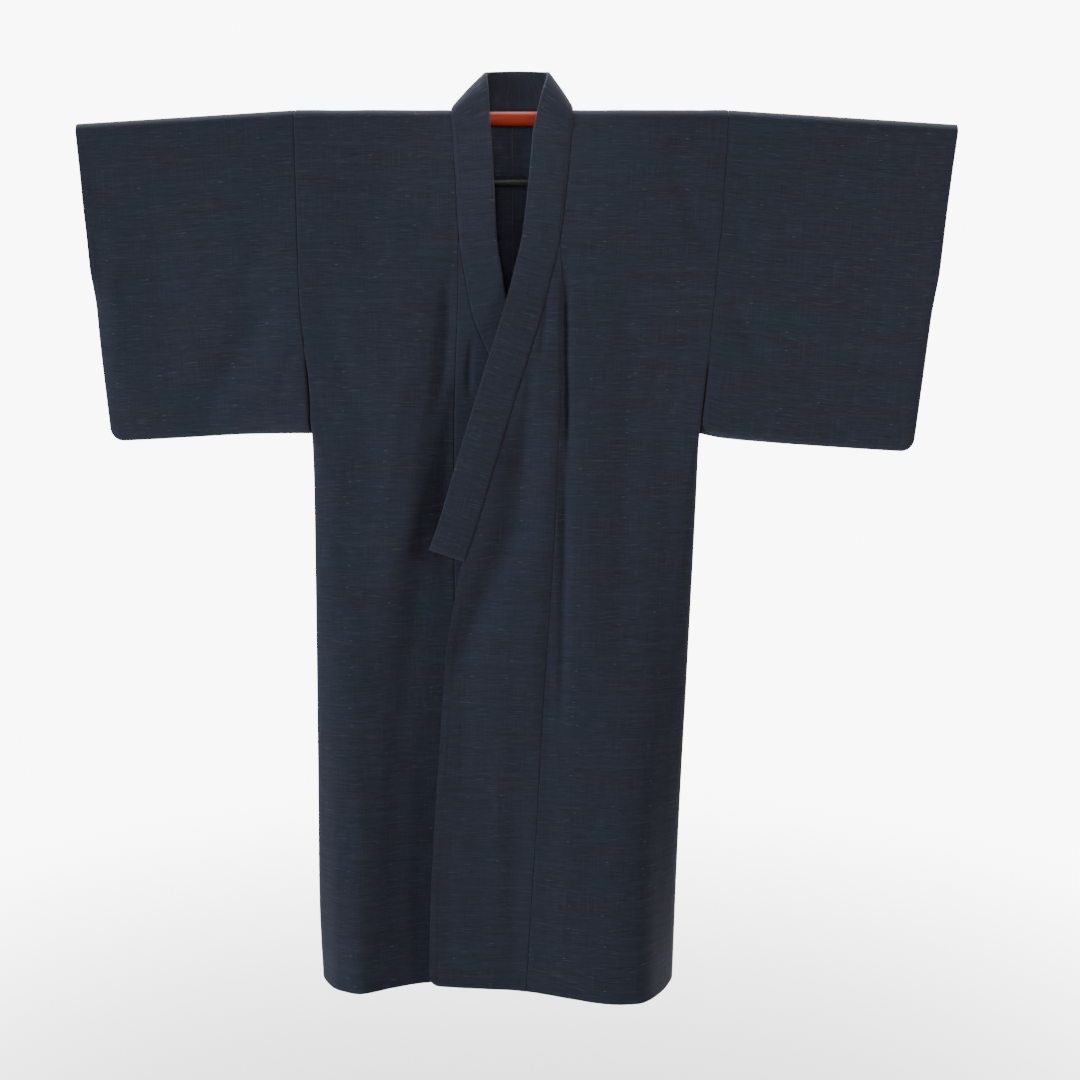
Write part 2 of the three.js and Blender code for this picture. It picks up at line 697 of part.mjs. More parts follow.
// An arm from the rod's end to near the cuff, with a bevelled tip.
function arm(side) {
  const station = (reach, radius) => ({
    x: SIGN[side] * reach,
    radius,
    drop: ARM_DROP * (reach - ARM_START),
  });
  const stations = [
    station(ARM_START + SEAM_GAP, ROD_RADIUS),
    station(ROD_REACH - ROD_BEVEL, ROD_RADIUS),
    station(ROD_REACH, ROD_RADIUS - ROD_BEVEL),
  ];
  return roundRod(side === 'left' ? stations : stations.reverse());
}

const cloth = { color: 0x2a2f3c, roughness: 0.92, metalness: 0 };
const materials = {
  cloth: new THREE.MeshStandardMaterial(cloth),
  collarCloth: new THREE.MeshStandardMaterial({ ...cloth, color: 0x272c38 }),
  redRod: new THREE.MeshStandardMaterial({ color: 0xa04632, roughness: 0.45, metalness: 0 }),
  darkBar: new THREE.MeshStandardMaterial({ color: 0x222125, roughness: 0.5, metalness: 0 }),
};

const kimono = new THREE.Group();

function addPiece(name, geometry, material) {
  const mesh = new THREE.Mesh(geometry, material);
  mesh.name = name;
  kimono.add(mesh);
  return mesh;
}

addPiece('hanger_rod', rod(), materials.redRod);
addPiece('hanger_arm_left', arm('left'), materials.redRod);
addPiece('hanger_arm_right', arm('right'), materials.redRod);

const bar = addPiece(
  'hanger_bar',
  new THREE.CylinderGeometry(BAR_RADIUS, BAR_RADIUS, 2 * BAR_REACH, 16),
  materials.darkBar,
);
bar.rotation.z = Math.PI / 2;
bar.position.z = BAR_HEIGHT;

const linkTop = -ROD_RADIUS - SEAM_GAP;
const linkBottom = BAR_HEIGHT + BAR_RADIUS + SEAM_GAP;
for (const side of ['left', 'right']) {
  const link = addPiece(
    `hanger_link_${side}`,
    new THREE.CylinderGeometry(LINK_RADIUS, LINK_RADIUS, linkTop - linkBottom, 12),
    materials.darkBar,
  );
  link.rotation.x = Math.PI / 2;
  link.position.set(SIGN[side] * LINK_PLACE, 0, (linkTop + linkBottom) / 2);
}

for (const side of ['right', 'left']) {
  addPiece(`${side}_body`, bodyPanel(side), materials.cloth);
  addPiece(`${side}_overlap`, overlapPanel(side), materials.cloth);
  addPiece(`${side}_sleeve`, sleeve(side), materials.cloth);
}
addPiece('collar', collar(), materials.collarCloth);
addPiece('collar_cover', collarCover(), materials.collarCloth);

export default kimono;
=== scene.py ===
# A men's kimono of dark slub cotton, hung by its shoulders and sleeves on a red rod.
# The tables are in millimetres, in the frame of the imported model: X to the viewer's right,
# -Y towards the viewer and Z up. Left and right in names are the wearer's.

import math

import bpy
import numpy as np
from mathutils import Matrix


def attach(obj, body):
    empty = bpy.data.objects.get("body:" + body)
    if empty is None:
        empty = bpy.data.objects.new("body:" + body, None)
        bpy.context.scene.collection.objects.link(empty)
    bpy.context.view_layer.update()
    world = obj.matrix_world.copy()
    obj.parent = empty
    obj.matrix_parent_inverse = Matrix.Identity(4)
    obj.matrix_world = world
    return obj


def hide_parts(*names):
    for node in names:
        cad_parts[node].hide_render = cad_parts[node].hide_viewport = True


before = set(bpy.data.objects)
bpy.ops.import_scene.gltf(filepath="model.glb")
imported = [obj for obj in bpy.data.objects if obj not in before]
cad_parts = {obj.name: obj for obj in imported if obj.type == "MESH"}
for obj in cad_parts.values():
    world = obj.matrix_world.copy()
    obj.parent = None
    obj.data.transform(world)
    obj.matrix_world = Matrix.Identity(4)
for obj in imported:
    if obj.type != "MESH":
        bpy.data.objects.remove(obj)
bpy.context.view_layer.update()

# The room. A pale floor lies well below the hem and fades into a white backdrop. A wide soft
# window lights the robe from its right side at half height, and weaker lights stand opposite, in
# front, behind and over the floor. The camera faces the robe's middle and looks a little down.

MM = 0.001
COOL = (0.85, 0.92, 1.0)
WARM = (1.0, 0.96, 0.90)
WHITE = (1.0, 1.0, 1.0)
SKY = {"seen": 9.0, "lights": 0.24}
VIEW = {"lens": 43.33, "place": (42.6, -2056, -398), "down": 7}
FLOOR = {"height": -1640, "radius": 2600, "fade": 1500, "sides": 96, "grey": 0.8, "roughness": 0.9}


def table(columns, *rows):
    """A table's rows, each with its columns by name."""
    return [dict(zip(columns.split(), row)) for row in rows]


def soft_light(name, place, aim, size, power, colour, spread):
    """A rectangular lamp at a place, turned to its aim, with its light spread over an angle."""
    lamp = bpy.data.objects.new(name, bpy.data.lights.new(name, "AREA"))
    lamp.data.shape = "RECTANGLE"
    lamp.data.size, lamp.data.size_y = size[0] * MM, size[1] * MM
    lamp.data.energy = power
    lamp.data.color = colour
    lamp.data.spread = math.radians(spread)
    lamp.visible_camera = False
    start, end = np.array(place) * MM, np.array(aim) * MM
    lamp.location = start
    way = end - start
    lamp.rotation_euler = (
        math.atan2(math.hypot(way[0], way[1]), -way[2]),
        0,
        math.atan2(way[1], way[0]) - math.pi / 2,
    )
    bpy.context.scene.collection.objects.link(lamp)


class Shade:
    """A socket of a material in an expression: arithmetic on it adds the nodes."""

    def __init__(self, tree, socket=None):
        self.tree = tree
        self.socket = socket

    def node(self, kind, settings=None, inputs=None, output=0):
        """Adds a node: its settings first, then the values or links of its inputs."""
        made = self.tree.nodes.new("ShaderNode" + kind)
        for name, value in (settings or {}).items():
            setattr(made, name, value)
        for name, value in (inputs or {}).items():
            if isinstance(value, Shade):
                self.tree.links.new(value.socket, made.inputs[name])
            else:
                made.inputs[name].default_value = value
        return Shade(self.tree, made.outputs[output])

    def maths(self, operation, *values):
        return self.node("Math", {"operation": operation}, dict(enumerate(values)))

    def __add__(self, other):
        return self.maths("ADD", self, other)

    def __radd__(self, other):
        return self.maths("ADD", other, self)

    def __rsub__(self, other):
        return self.maths("SUBTRACT", other, self)

    def __mul__(self, other):
        return self.maths("MULTIPLY", self, other)

    def between(self, low, high):
        """0 below low and 1 above high, or the other way round where low is the higher."""
        places = {"Value": self, "From Min": low, "From Max": high}
        return self.node("MapRange", {"interpolation_type": "SMOOTHSTEP"}, places)

    def mixed(self, first, second):
        """The first colour where this is 0 and the second where it is 1."""
        colours = [c if isinstance(c, Shade) else (*c, 1) for c in (first, second)]
        sockets = {"Factor": self, 6: colours[0], 7: colours[1]}
        return self.node("Mix", {"data_type": "RGBA"}, sockets, 2)

    def stretched(self, across, along, shift=0.0):
        """These coordinates, so that a noise read there has spots of a size in two directions."""
        sizes = {0: self, 1: (1 / across, 1 / along, 1.0), 2: (shift, shift * 0.7, shift)}
        return self.node("VectorMath", {"operation": "MULTIPLY_ADD"}, sizes)

    def noise(self, detail=0.0, roughness=0.5):
        places = {"Vector": self, "Scale": 1.0, "Detail": detail, "Roughness": roughness}
        return self.node("TexNoise", {}, places)


def new_material(name, sockets):
    """A Principled material: its constant sockets are set here. Gives it and a Shade to start from."""
    made = bpy.data.materials.new(name)
    made.use_nodes = True
    surface = made.node_tree.nodes["Principled BSDF"]
    for socket, value in sockets.items():
        surface.inputs[socket].default_value = value
    return made, Shade(made.node_tree)


def finish_material(made, links):
    """Links what varies over the surface to the material's Principled sockets."""
    surface = made.node_tree.nodes["Principled BSDF"]
    for socket, shade in links.items():
        made.node_tree.links.new(shade.socket, surface.inputs[socket])
    return made


lights = table(
    "name place aim size power colour spread",
    ("window_light", (-3900, -1900, -600), (-250, 0, -520), (1400, 1700), 17, COOL, 56),
    ("door_light", (2200, -1300, -100), (380, 0, -300), (600, 800), 3.4, WARM, 70),
    ("room_light", (-300, -3700, 150), (-120, 0, -160), (1500, 1300), 1.8, WARM, 48),
    ("neck_light", (60, -2600, 0), (0, 0, -10), (150, 150), 0.06, WARM, 10),
    ("rear_window", (2700, 3000, -700), (0, 0, -650), (1400, 1700), 25, COOL, 180),
    ("rear_light", (-500, 3400, -300), (0, 0, -500), (1500, 1300), 6, WARM, 180),
    ("floor_light", (0, 1500, 1100), (0, 1500, -1640), (3000, 2200), 100, WHITE, 68),
)
for light in lights:
    soft_light(**light)

sky = bpy.data.worlds.new("sky")
sky.use_nodes = True
sky_shade = Shade(sky.node_tree)
seen = sky_shade.node("LightPath", output="Is Camera Ray")
strength = sky_shade.node(
    "Mix", {"data_type": "FLOAT"}, {"Factor": seen, 2: SKY["lights"], 3: SKY["seen"]}
)
background = sky.node_tree.nodes["Background"].inputs
background["Color"].default_value = (*WHITE, 1)
sky.node_tree.links.new(strength.socket, background["Strength"])
bpy.context.scene.world = sky

camera = bpy.data.objects.new("camera", bpy.data.cameras.new("camera"))
camera.data.lens = VIEW["lens"]
camera.location = np.array(VIEW["place"]) * MM
camera.rotation_euler = (math.radians(90 - VIEW["down"]), 0, 0)
bpy.context.scene.collection.objects.link(camera)
bpy.context.scene.camera = camera

floor_rim = [2 * math.pi * i / FLOOR["sides"] for i in range(FLOOR["sides"])]
floor_mesh = bpy.data.meshes.new("floor")
floor_radius, floor_height = FLOOR["radius"] * MM, FLOOR["height"] * MM
floor_mesh.from_pydata(
    [(floor_radius * math.cos(a), floor_radius * math.sin(a), floor_height) for a in floor_rim],
    [],
    [range(FLOOR["sides"])],
)
floor = bpy.data.objects.new("floor", floor_mesh)
bpy.context.scene.collection.objects.link(floor)
floor_grey = (FLOOR["grey"], FLOOR["grey"], FLOOR["grey"], 1)
floor_paint, floor_shade = new_material(
    "floor_paint", {"Base Color": floor_grey, "Roughness": FLOOR["roughness"]}
)
place = floor_shade.node("NewGeometry", output=0)
from_middle = floor_shade.node("VectorMath", {"operation": "LENGTH"}, {0: place}, 1)
fade = from_middle.between(FLOOR["fade"] * MM, floor_radius)
floor_tree = floor_paint.node_tree
clear = floor_shade.node("BsdfTransparent")
painted = Shade(floor_tree, floor_tree.nodes["Principled BSDF"].outputs[0])
shown = floor_shade.node("MixShader", {}, {0: fade, 1: painted, 2: clear})
floor_tree.links.new(shown.socket, floor_tree.nodes["Material Output"].inputs["Surface"])
floor_mesh.materials.append(floor_paint)

# The hanger. A turned wooden rod in vermilion paint runs along the shoulders and through both
# sleeves, its arms dropping a little. A thin steel bar in black paint hangs below it on two wires.

ROD = {"radius": 10.5, "reach": 622, "height": 0, "end_round": 3.0}
BAR = {"radius": 6.5, "reach": 210, "height": -93.8, "end_round": 2.5}
ARM = {"start": 334, "drop": 0.061}
ROUND_SIDES = 48
BAR_RINGS = 41
END_RINGS = {"count": 6, "turn": 18}
ROD_MARKS = {"brush": (0.05, 0.0016), "rubs": (0.022, 0.012)}
BAR_MARKS = {"worn": (0.012, 0.008), "pits": (0.0016, 0.0016)}
VERMILION = (0.28, 0.022, 0.008)
VERMILION_DEEP = (0.22, 0.016, 0.006)
VERMILION_WORN = (0.40, 0.075, 0.04)
BLACK_PAINT = (0.010, 0.009, 0.011)
BLACK_WORN = (0.020, 0.018, 0.020)


def link_mesh(name, points, faces, material):
    """A smooth mesh of a material, in metres, linked to the scene."""
    mesh = bpy.data.meshes.new(name)
    mesh.from_pydata([tuple(point) for point in points], [], faces)
    mesh.materials.append(material)
    mesh.shade_smooth()
    made = bpy.data.objects.new(name, mesh)
    bpy.context.scene.collection.objects.link(made)
    return made


def round_bar(name, drop, material, radius, reach, height, end_round):
    """A bar along X with rounded ends, whose middle line at x lies drop(x) below height."""
    ends = []
    for i in range(END_RINGS["count"]):
        turn = math.radians(END_RINGS["turn"] * i)
        ends.append((reach - end_round * (1 - math.sin(turn)), radius - end_round * (1 - math.cos(turn))))
    inner = ends[0][0]
    middle = [(x, radius) for x in np.linspace(-inner, inner, BAR_RINGS)[1:-1]]
    rings = [(-x, r) for x, r in reversed(ends)] + middle + ends
    points, faces = [], []
    for x, ring_radius in rings:
        for k in range(ROUND_SIDES):
            angle = 2 * math.pi * k / ROUND_SIDES
            y, z = ring_radius * math.cos(angle), ring_radius * math.sin(angle)
            points.append((x * MM, y * MM, (height + z - drop(x)) * MM))
    for i in range(len(rings) - 1):
        for k in range(ROUND_SIDES):
            a, b = i * ROUND_SIDES + k, i * ROUND_SIDES + (k + 1) % ROUND_SIDES
            faces.append((a, b, b + ROUND_SIDES, a + ROUND_SIDES))
    last = (len(rings) - 1) * ROUND_SIDES
    faces.append(tuple(reversed(range(ROUND_SIDES))))
    faces.append(tuple(range(last, last + ROUND_SIDES)))
    return link_mesh(name, points, faces, material)


def rod_paint():
    """Brushed vermilion paint over turned wood: faint lengthwise brush marks and a few dull rubs."""
    made, shade = new_material("rod_paint", {"Specular IOR Level": 0.2})
    place = shade.node("TexCoord", output="Object")
    brush = place.stretched(*ROD_MARKS["brush"]).noise(2.0)
    rubs = place.stretched(*ROD_MARKS["rubs"], 4.0).noise(3.0).between(0.56, 0.72)
    colour = (brush.between(0.35, 0.68) * 0.5 + 0.5).mixed(VERMILION_DEEP, VERMILION)
    colour = (rubs * 0.12).mixed(colour, VERMILION_WORN)
    bump = shade.node("Bump", {}, {"Strength": 0.05, "Distance": 0.0003, "Height": brush})
    return finish_material(made, {"Base Color": colour, "Roughness": 0.52 + rubs * 0.18, "Normal": bump})


def bar_paint():
    """Black paint on steel, worn a little greyer in patches."""
    made, shade = new_material("bar_paint", {"Specular IOR Level": 0.3})
    place = shade.node("TexCoord", output="Object")
    worn = place.stretched(*BAR_MARKS["worn"]).noise(4.0).between(0.5, 0.75)
    pits = place.stretched(*BAR_MARKS["pits"]).noise(1.0)
    bump = shade.node("Bump", {}, {"Strength": 0.15, "Distance": 0.0003, "Height": pits})
    colour = worn.mixed(BLACK_PAINT, BLACK_WORN)
    return finish_material(made, {"Base Color": colour, "Roughness": 0.38 + worn * 0.22, "Normal": bump})


def arm_drop(x):
    """How far the rod's middle line lies below its level part."""
    return ARM["drop"] * max(abs(x) - ARM["start"], 0)


rod_finish = rod_paint()
bar_finish = bar_paint()
rod = round_bar("red_rod", arm_drop, rod_finish, **ROD)
bar = round_bar("black_bar", lambda x: 0, bar_finish, **BAR)
rod_nodes = ("hanger_rod", "hanger_arm_left", "hanger_arm_right")
for piece, nodes, slot in ((rod, rod_nodes, "rod_paint"), (bar, ("hanger_bar",), "dark_bar")):
    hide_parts(*nodes)
    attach(piece, "root")
for node in ("hanger_link_left", "hanger_link_right"):
    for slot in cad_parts[node].material_slots:
        slot.link = "OBJECT"
        slot.material = bar_finish

# The two body panels. Each is one loom width of cloth that runs from the front hem over the
# shoulder to the back hem. It is sewn to itself down the side, to its twin down the middle of
# the back, and along the front to the collar and the overlap panel. The left one lies on top.

HEM = -1384
ARMHOLE_END = -395
ARMHOLE_BLEND = 35
FRONT_POINT = -178
NECK_HALF_WIDTH = 92
NECK_EDGE = {
    "depth": 12, "steps": (0, 4), "reach": 25, "kept_dip": 0.6,
    "start": 119, "turns": (120, 150, 180), "levels": (12, 6.3, 0),
}
SHOULDER_RADIUS = 12.6
SHOULDER_BUMPS = {"share": 0.5, "start": 3}
SHOULDER_CALM = 60
CLOTH = 0.9
MERGE_GRID = 50
SEAM_DIP = {"depth": 1.3, "width": 2.8}
HEM_BAND = {"width": 11, "rise": 0.4, "start": 1, "slope": 1.6}
HEM_SIDE_RISE = {"height": 8, "width": 24}
HEM_FADE = 60
SEAM_STEPS = (0, 0.5, 1.2, 2.4, 4.2, 7)
ROUND_STEPS = (0, 0.6, 1.8, 3.6, 6.2, 9.6, 14, 19, 24)
HEM_STEPS = (0, 0.7, 2, 5, 8.5, 10.6, 12.2, 15)
SPANS = {"body": 48, "back_neck": 18, "overlap": 32, "sleeve": 68}
STEP = {"down": 5.0, "over": 10}
OVER = np.radians(np.arange(0, 180 + STEP["over"], STEP["over"]))
SIGN = {"left": 1, "right": -1}
SEEDS = {"left": 11, "right": 12, "back": 13, "shoulder": 14, "middle_seam": 25}
INNER_SEAM_SEEDS = {"left": 21, "right": 22}
ARMHOLE_SEEDS = {"left": 23, "right": 24}
TURN = 6.28
CREASE_ENDS = 3
EDGE_ROOM = 2.5
WAVES = ((310, 0.5), (190, 0.35), (120, 0.28), (83, 0.2), (55, 0.13), (38, 0.08))
WAVE_TILT = 0.9
WAVE_BEND = {"strength": 0.8, "length": 0.9}
RIPPLES = ((17, 0.11), (27, 0.17), (44, 0.2), (71, 0.16))
RIPPLE_REACH = 9


def curve(given, wanted):
    """A smooth curve through points, each coordinate read at any value of the given one."""
    given, wanted = np.array(given, float), np.array(wanted, float)
    order = np.argsort(given)
    given, wanted = given[order], wanted[order]
    before = np.maximum(np.arange(len(given)) - 1, 0)
    after = np.minimum(np.arange(len(given)) + 1, len(given) - 1)
    shape = (-1,) + (1,) * (wanted.ndim - 1)
    slope = (wanted[after] - wanted[before]) / (given[after] - given[before]).reshape(shape)

    def read(value):
        value = np.asarray(value, float)
        i = np.clip(np.searchsorted(given, value, side="right") - 1, 0, len(given) - 2)
        extra = (...,) + (None,) * (wanted.ndim - 1)
        span = (given[i + 1] - given[i])[extra]
        t = np.clip((value - given[i])[extra] / span, 0, 1)
        ease = t * t * (3 - 2 * t)
        bend = span * t * (1 - t) * ((1 - t) * slope[i] - t * slope[i + 1])
        return wanted[i] + (wanted[i + 1] - wanted[i]) * ease + bend

    return read


def follow(rows, given, wanted):
    return curve([row[given] for row in rows], [row[wanted] for row in rows])


def both_sides(rows, given):
    return {side: follow(rows, given, side) for side in SIGN}


side_line = both_sides(table(
    "z left right",
    (13, 331.5, -333), (-154, 322, -330.5), (-275, 311.7, -328.4), (-351, 306, -323),
    (-399, 301.5, -319), (-480, 293.5, -316), (-585, 290, -315), (-826, 281, -316.5),
    (-1073, 271, -319), (-1254, 265.4, -320.5), (-1384, 262, -317),
), "z")
collar_line = both_sides(table(
    "z left right",
    (13, 92, -92), (0, 91.6, -91.6), (-95, 83.5, -86), (-178, 73.4, -81.8), (-240, 59.5, -73),
    (-300, 43.8, -61), (-356, 26.2, -38.2), (-430, 2.2, -14), (-530, -28.6, 12),
    (-630, -59, 36), (-680, -76.5, 47), (-740, -97.5, 60),
), "z")
overlap_seam = both_sides(table(
    "z left right",
    (-178, 73.4, -81.8), (-194, 75.2, -82.8), (-270, 78.2, -84.5), (-433, 73.8, -91.5),
    (-631, 66.3, -93.4), (-782, 56.9, -94), (-935, 46.8, -94.5), (-1092, 38.5, -95),
    (-1251, 28.3, -95.5), (-1384, 20.8, -96),
), "z")

# How far in from the side seams the cloth rounds away. It hardly does beside the sleeves.
side_round = both_sides(table(
    "z left right",
    (13, 3, 3), (-440, 3, 3), (-470, 3, 3), (-540, 16, 34), (-620, 30, 62), (-950, 30, 60),
    (-1200, 27, 38), (-1384, 25, 30),
), "z")
hang = table(
    "z front back lap sleeve",
    (0, 12.6, 12.6, 0, 12.6), (-60, 15, 14, 0, 13.4), (-150, 18, 15.5, 0, 13.6),
    (-240, 20, 16.5, 5.5, 13.2), (-300, 21, 17, 8.5, 12.6), (-430, 23, 18, 11, 11.5),
    (-600, 25, 19, 13, 11), (-1000, 28, 21, 11, 11), (-1384, 30, 22, 10, 11),
)
hang_front, hang_back, hang_lap, hang_sleeve = (
    follow(hang, "z", column) for column in ("front", "back", "lap", "sleeve")
)
HEM_SWELL = {
    "left": table(
        "x rise", (-140, 0), (-45, 3), (20, 9), (87, 32), (130, 49), (169, 58), (200, 55),
        (219, 40), (245, 10), (264, -4),
    ),
    "right": table(
        "x rise", (-320, -5), (-308, -2), (-280, 16), (-247, 27), (-200, 10), (-155, -4),
        (-90, -8), (60, -4),
    ),
    "back": table(
        "x rise", (-320, 0), (-235, 13), (-150, -5), (-60, 10), (30, -3), (115, 14), (195, -5), (264, 0),
    ),
}
hem_swell = {layer: follow(rows, "x", "rise") for layer, rows in HEM_SWELL.items()}
SWELL = {"start": -450, "power": 1.6}
LAP_FADE = (80, 290)

# The under front falls away from its crest, near the side, towards the top front.
UNDER_SLOPE = table(
    "z crest width fall",
    (0, -150, 60, 0), (-190, -114, 34, 3), (-330, -128, 38, 10), (-430, -140, 50, 16),
    (-530, -157, 67, 20.5), (-630, -174, 75, 21), (-720, -206, 106, 18), (-850, -244, 132, 16),
    (-1100, -262, 132, 13), (-1384, -260, 125, 8),
)
under_slope = [follow(UNDER_SLOPE, "z", column) for column in ("fall", "crest", "width")]

# Hanging folds and pressed creases of each layer, from x1 z1 to x2 z2. A bow carries one
# sideways, and a negative depth is a ridge.
CREASES = {
    "left": table(
        "x1 z1 x2 z2 bow width depth",
        (95, -320, 50, -1120, 6, 18, 7), (190, -210, 167, -980, 0, 26, 4.5),
        (236, -620, 210, -1900, 0, 24, -5),
        (84, -186, 87, -560, 3, 7, 10.0), (82, -440, 74, -1010, -2, 7.5, 7.0),
        (246, -30, 322, -235, 10, 17, 5.0), (226, -350, 200, -470, -6, 15, 3.2),
        (262, -300, 236, -640, 8, 20, 1.8), (150, -120, 176, -420, -8, 22, 1.4),
        (120, -560, 132, -880, 9, 16, -1.8), (215, -820, 226, -1384, -12, 30, 4.2),
        (148, -960, 122, -1384, 8, 24, 2.6), (64, -980, 58, -1384, 4, 14, 1.6),
        (110, -60, 128, -180, 4, 10, 1.0), (96, -98, 300, -101, 2, 3.2, 0.8),
        (96, -107, 300, -111, -2, 4.0, -0.7), (24, -420, -8, -720, -4, 30, 14.0),
        (6, -600, -120, -900, -10, 26, 13.0), (34, -330, 6, -560, -4, 10, 3.0),
        (-60, -760, -88, -1120, 4, 16, 1.8),
        (-20, -840, -34, -1330, -8, 22, -2.4), (52, -235, 40, -390, -4, 6, 3.0),
        (8, -1010, 2, -1384, 5, 16, 2.0), (-96, -1080, -104, -1384, 5, 12, 1.4),
    ),
    "right": table(
        "x1 z1 x2 z2 bow width depth",
        (-94, -90, -180, -1050, 0, 22, 4), (-226, -250, -244, -1150, 0, 26, 3),
        (-101, -215, -126, -470, -6, 8, 5.0),
        (-60, -315, -66, -440, 4, 6, 2.6), (-98, -420, -112, -760, 4, 12, 1.6),
        (-288, -520, -286, -1384, 10, 24, -3.0), (-246, -460, -268, -840, 7, 16, 2.0),
        (-316, -230, -250, -470, -14, 17, 2.2), (-210, -90, -196, -360, 9, 24, 1.5),
        (-150, -330, -196, -620, 10, 15, -2.2), (-212, -860, -222, -1384, -9, 18, -2.2),
        (-190, -900, -196, -1384, 6, 15, 1.4), (-120, -60, -134, -200, -4, 12, 1.2),
        (-322, -98, -95, -98, 2, 3.2, 0.8), (-322, -107, -95, -106, -2, 4.0, -0.8),
        (-300, -610, -240, -690, 5, 9, 1.1), (-296, -980, -250, -1010, -4, 8, 0.9),
    ),
    "back": table(
        "x1 z1 x2 z2 bow width depth",
        (-212, -90, -189, -1250, 0, 26, 6), (-104, -180, -156, -1900, 0, 22, 5),
        (92, -110, 72, -1100, 0, 24, 6), (214, -260, 165, -1900, 0, 22, 5),
        (-4, -8, -4, -320, 0, 15, 6.0), (-24, -18, -6, -92, 3, 4.5, 3.6), (-34, -40, -12, -120, -3, 4, 2.0),
        (-12, -30, -30, -84, 2, 3.6, -1.8), (22, -24, 34, -150, 3, 6, 2.2), (12, -60, 18, -240, -2, 5, 1.6),
        (-300, -180, -240, -420, 12, 16, 2.2), (296, -170, 244, -430, -12, 16, 2.2),
        (-262, -520, -274, -980, 8, 18, 2.6), (250, -560, 238, -1100, -8, 18, 2.4),
        (-60, -620, -52, -1330, -10, 17, -2.4), (34, -520, 44, -1384, 8, 16, 2.0),
        (140, -760, 128, -1384, 7, 20, -2.6), (-236, -900, -228, -1384, 6, 15, 1.8),
        (-320, -98, 320, -101, 2, 3.4, 0.5), (-320, -107, 320, -110, -2, 4.0, -0.4),
        (-150, -140, -128, -330, 6, 12, 1.4), (150, -150, 132, -380, -6, 12, 1.5),
    ),
}


def ease(value):
    value = np.clip(value, 0, 1)
    return value * value * (3 - 2 * value)


def crease_depth(rows, x, z):
    """How deep all the creases of a table are together at each point."""
    depth = np.zeros(np.broadcast(x, z).shape)
    for row in rows:
        run, fall = row["x2"] - row["x1"], row["z2"] - row["z1"]
        length = math.hypot(run, fall)
        along = ((x - row["x1"]) * run + (z - row["z1"]) * fall) / length**2
        aside = ((x - row["x1"]) * fall - (z - row["z1"]) * run) / length
        aside = aside - row["bow"] * 4 * along * (1 - along)
        fade = ease(along * CREASE_ENDS) * ease((1 - along) * CREASE_ENDS)
        depth = depth + row["depth"] * np.exp(-((aside / row["width"]) ** 2)) * fade
    return depth


def drift(x, z, seed):
    """The cloth's slight waviness, about a millimetre, uneven in size and direction."""
    waves = np.random.default_rng(seed)
    height = 0
    for wavelength, amplitude in WAVES:
        angle, phase = waves.uniform(-WAVE_TILT, WAVE_TILT), waves.uniform(0, TURN)
        across = x * math.cos(angle) + z * math.sin(angle)
        bend = WAVE_BEND["strength"] * np.sin(z / (wavelength * WAVE_BEND["length"]) + phase * 2)
        height = height + amplitude * np.sin(across * TURN / wavelength + phase + bend)
    return height


def pucker(distance, along, seed):
    """The ripple that a seam's stitches draw up beside it."""
    waves = np.random.default_rng(seed)
    ripple = 0
    for wavelength, amplitude in RIPPLES:
        ripple = ripple + amplitude * np.sin(along * TURN / wavelength + waves.uniform(0, TURN))
    return ripple * np.exp(-distance / RIPPLE_REACH)


def seam_dip(distance):
    """How far a seam draws the cloth in, at distances from it."""
    near = np.clip(distance / SEAM_DIP["width"], 0, 1)
    return SEAM_DIP["depth"] * (1 - np.sqrt(1 - (1 - near) ** 2))


def hem_band(distance):
    """The turned-up hem stands a little proud of the cloth above it."""
    past = distance - HEM_BAND["width"] + HEM_BAND["start"]
    return HEM_BAND["rise"] * (1 - ease(past / HEM_BAND["slope"]))


def swell_share(z):
    """The share of the hem's swell that a height has."""
    return np.clip((SWELL["start"] - z) / (SWELL["start"] - HEM), 0, 1) ** SWELL["power"]


def front_depth(side, x, z):
    """How far the outside of a front lies before the rod's plane."""
    lap = np.maximum(hang_lap(z), 0) * (1 - ease((x - LAP_FADE[0]) / (LAP_FADE[1] - LAP_FADE[0])))
    depth = hang_front(z) + (lap if side == "left" else 0) + hem_swell[side](x) * swell_share(z)
    if side == "right":
        fall, crest, width = (part(z) for part in under_slope)
        depth = depth - fall * ease((x - crest) / width)
    shape = crease_depth(CREASES[side], x, z) - drift(x, z, SEEDS[side])
    return depth - ease(-z / SHOULDER_CALM) * shape


def back_depth(x, z):
    """How far the outside of the back lies behind the rod's plane."""
    depth = hang_back(z) + hem_swell["back"](x) * swell_share(z)
    shape = crease_depth(CREASES["back"], x, z) - drift(x, z, SEEDS["back"])
    return depth - ease(-z / SHOULDER_CALM) * shape


def rounding(distance, radius, closing):
    """The share of its depth that a layer keeps near an edge where it is sewn to the other layer."""
    near = np.clip(distance / radius, 0, 1)
    return 1 - closing * (1 - np.sqrt(1 - (1 - near) ** 2))


def armhole_closing(z):
    """0 where the side is open into the sleeve and 1 where it is sewn up, below the armhole."""
    return ease((ARMHOLE_END + ARMHOLE_BLEND - z) / ARMHOLE_BLEND)


def columns(width, start, end, spans):
    """Distances across a panel for each row's width, close together at its two edges."""
    width = np.asarray(width, float)[:, None]
    fits = np.minimum(width / (EDGE_ROOM * (start[-1] + end[-1])), 1)
    start, end = fits * np.array(start, float), fits * np.array(end, float)
    share = np.arange(1, spans) / spans
    between = start[:, -1:] + (width - end[:, -1:] - start[:, -1:]) * share
    return np.hstack([start, between, width - end[:, ::-1]])


def down_rows(top, bottom, step, fine):
    """Heights from the bottom to the top, close together at the bottom."""
    fine = bottom + np.array(fine, float)
    count = int(round((top - fine[-1]) / step))
    return np.concatenate([fine[:-1], np.linspace(fine[-1], top, count + 1)])


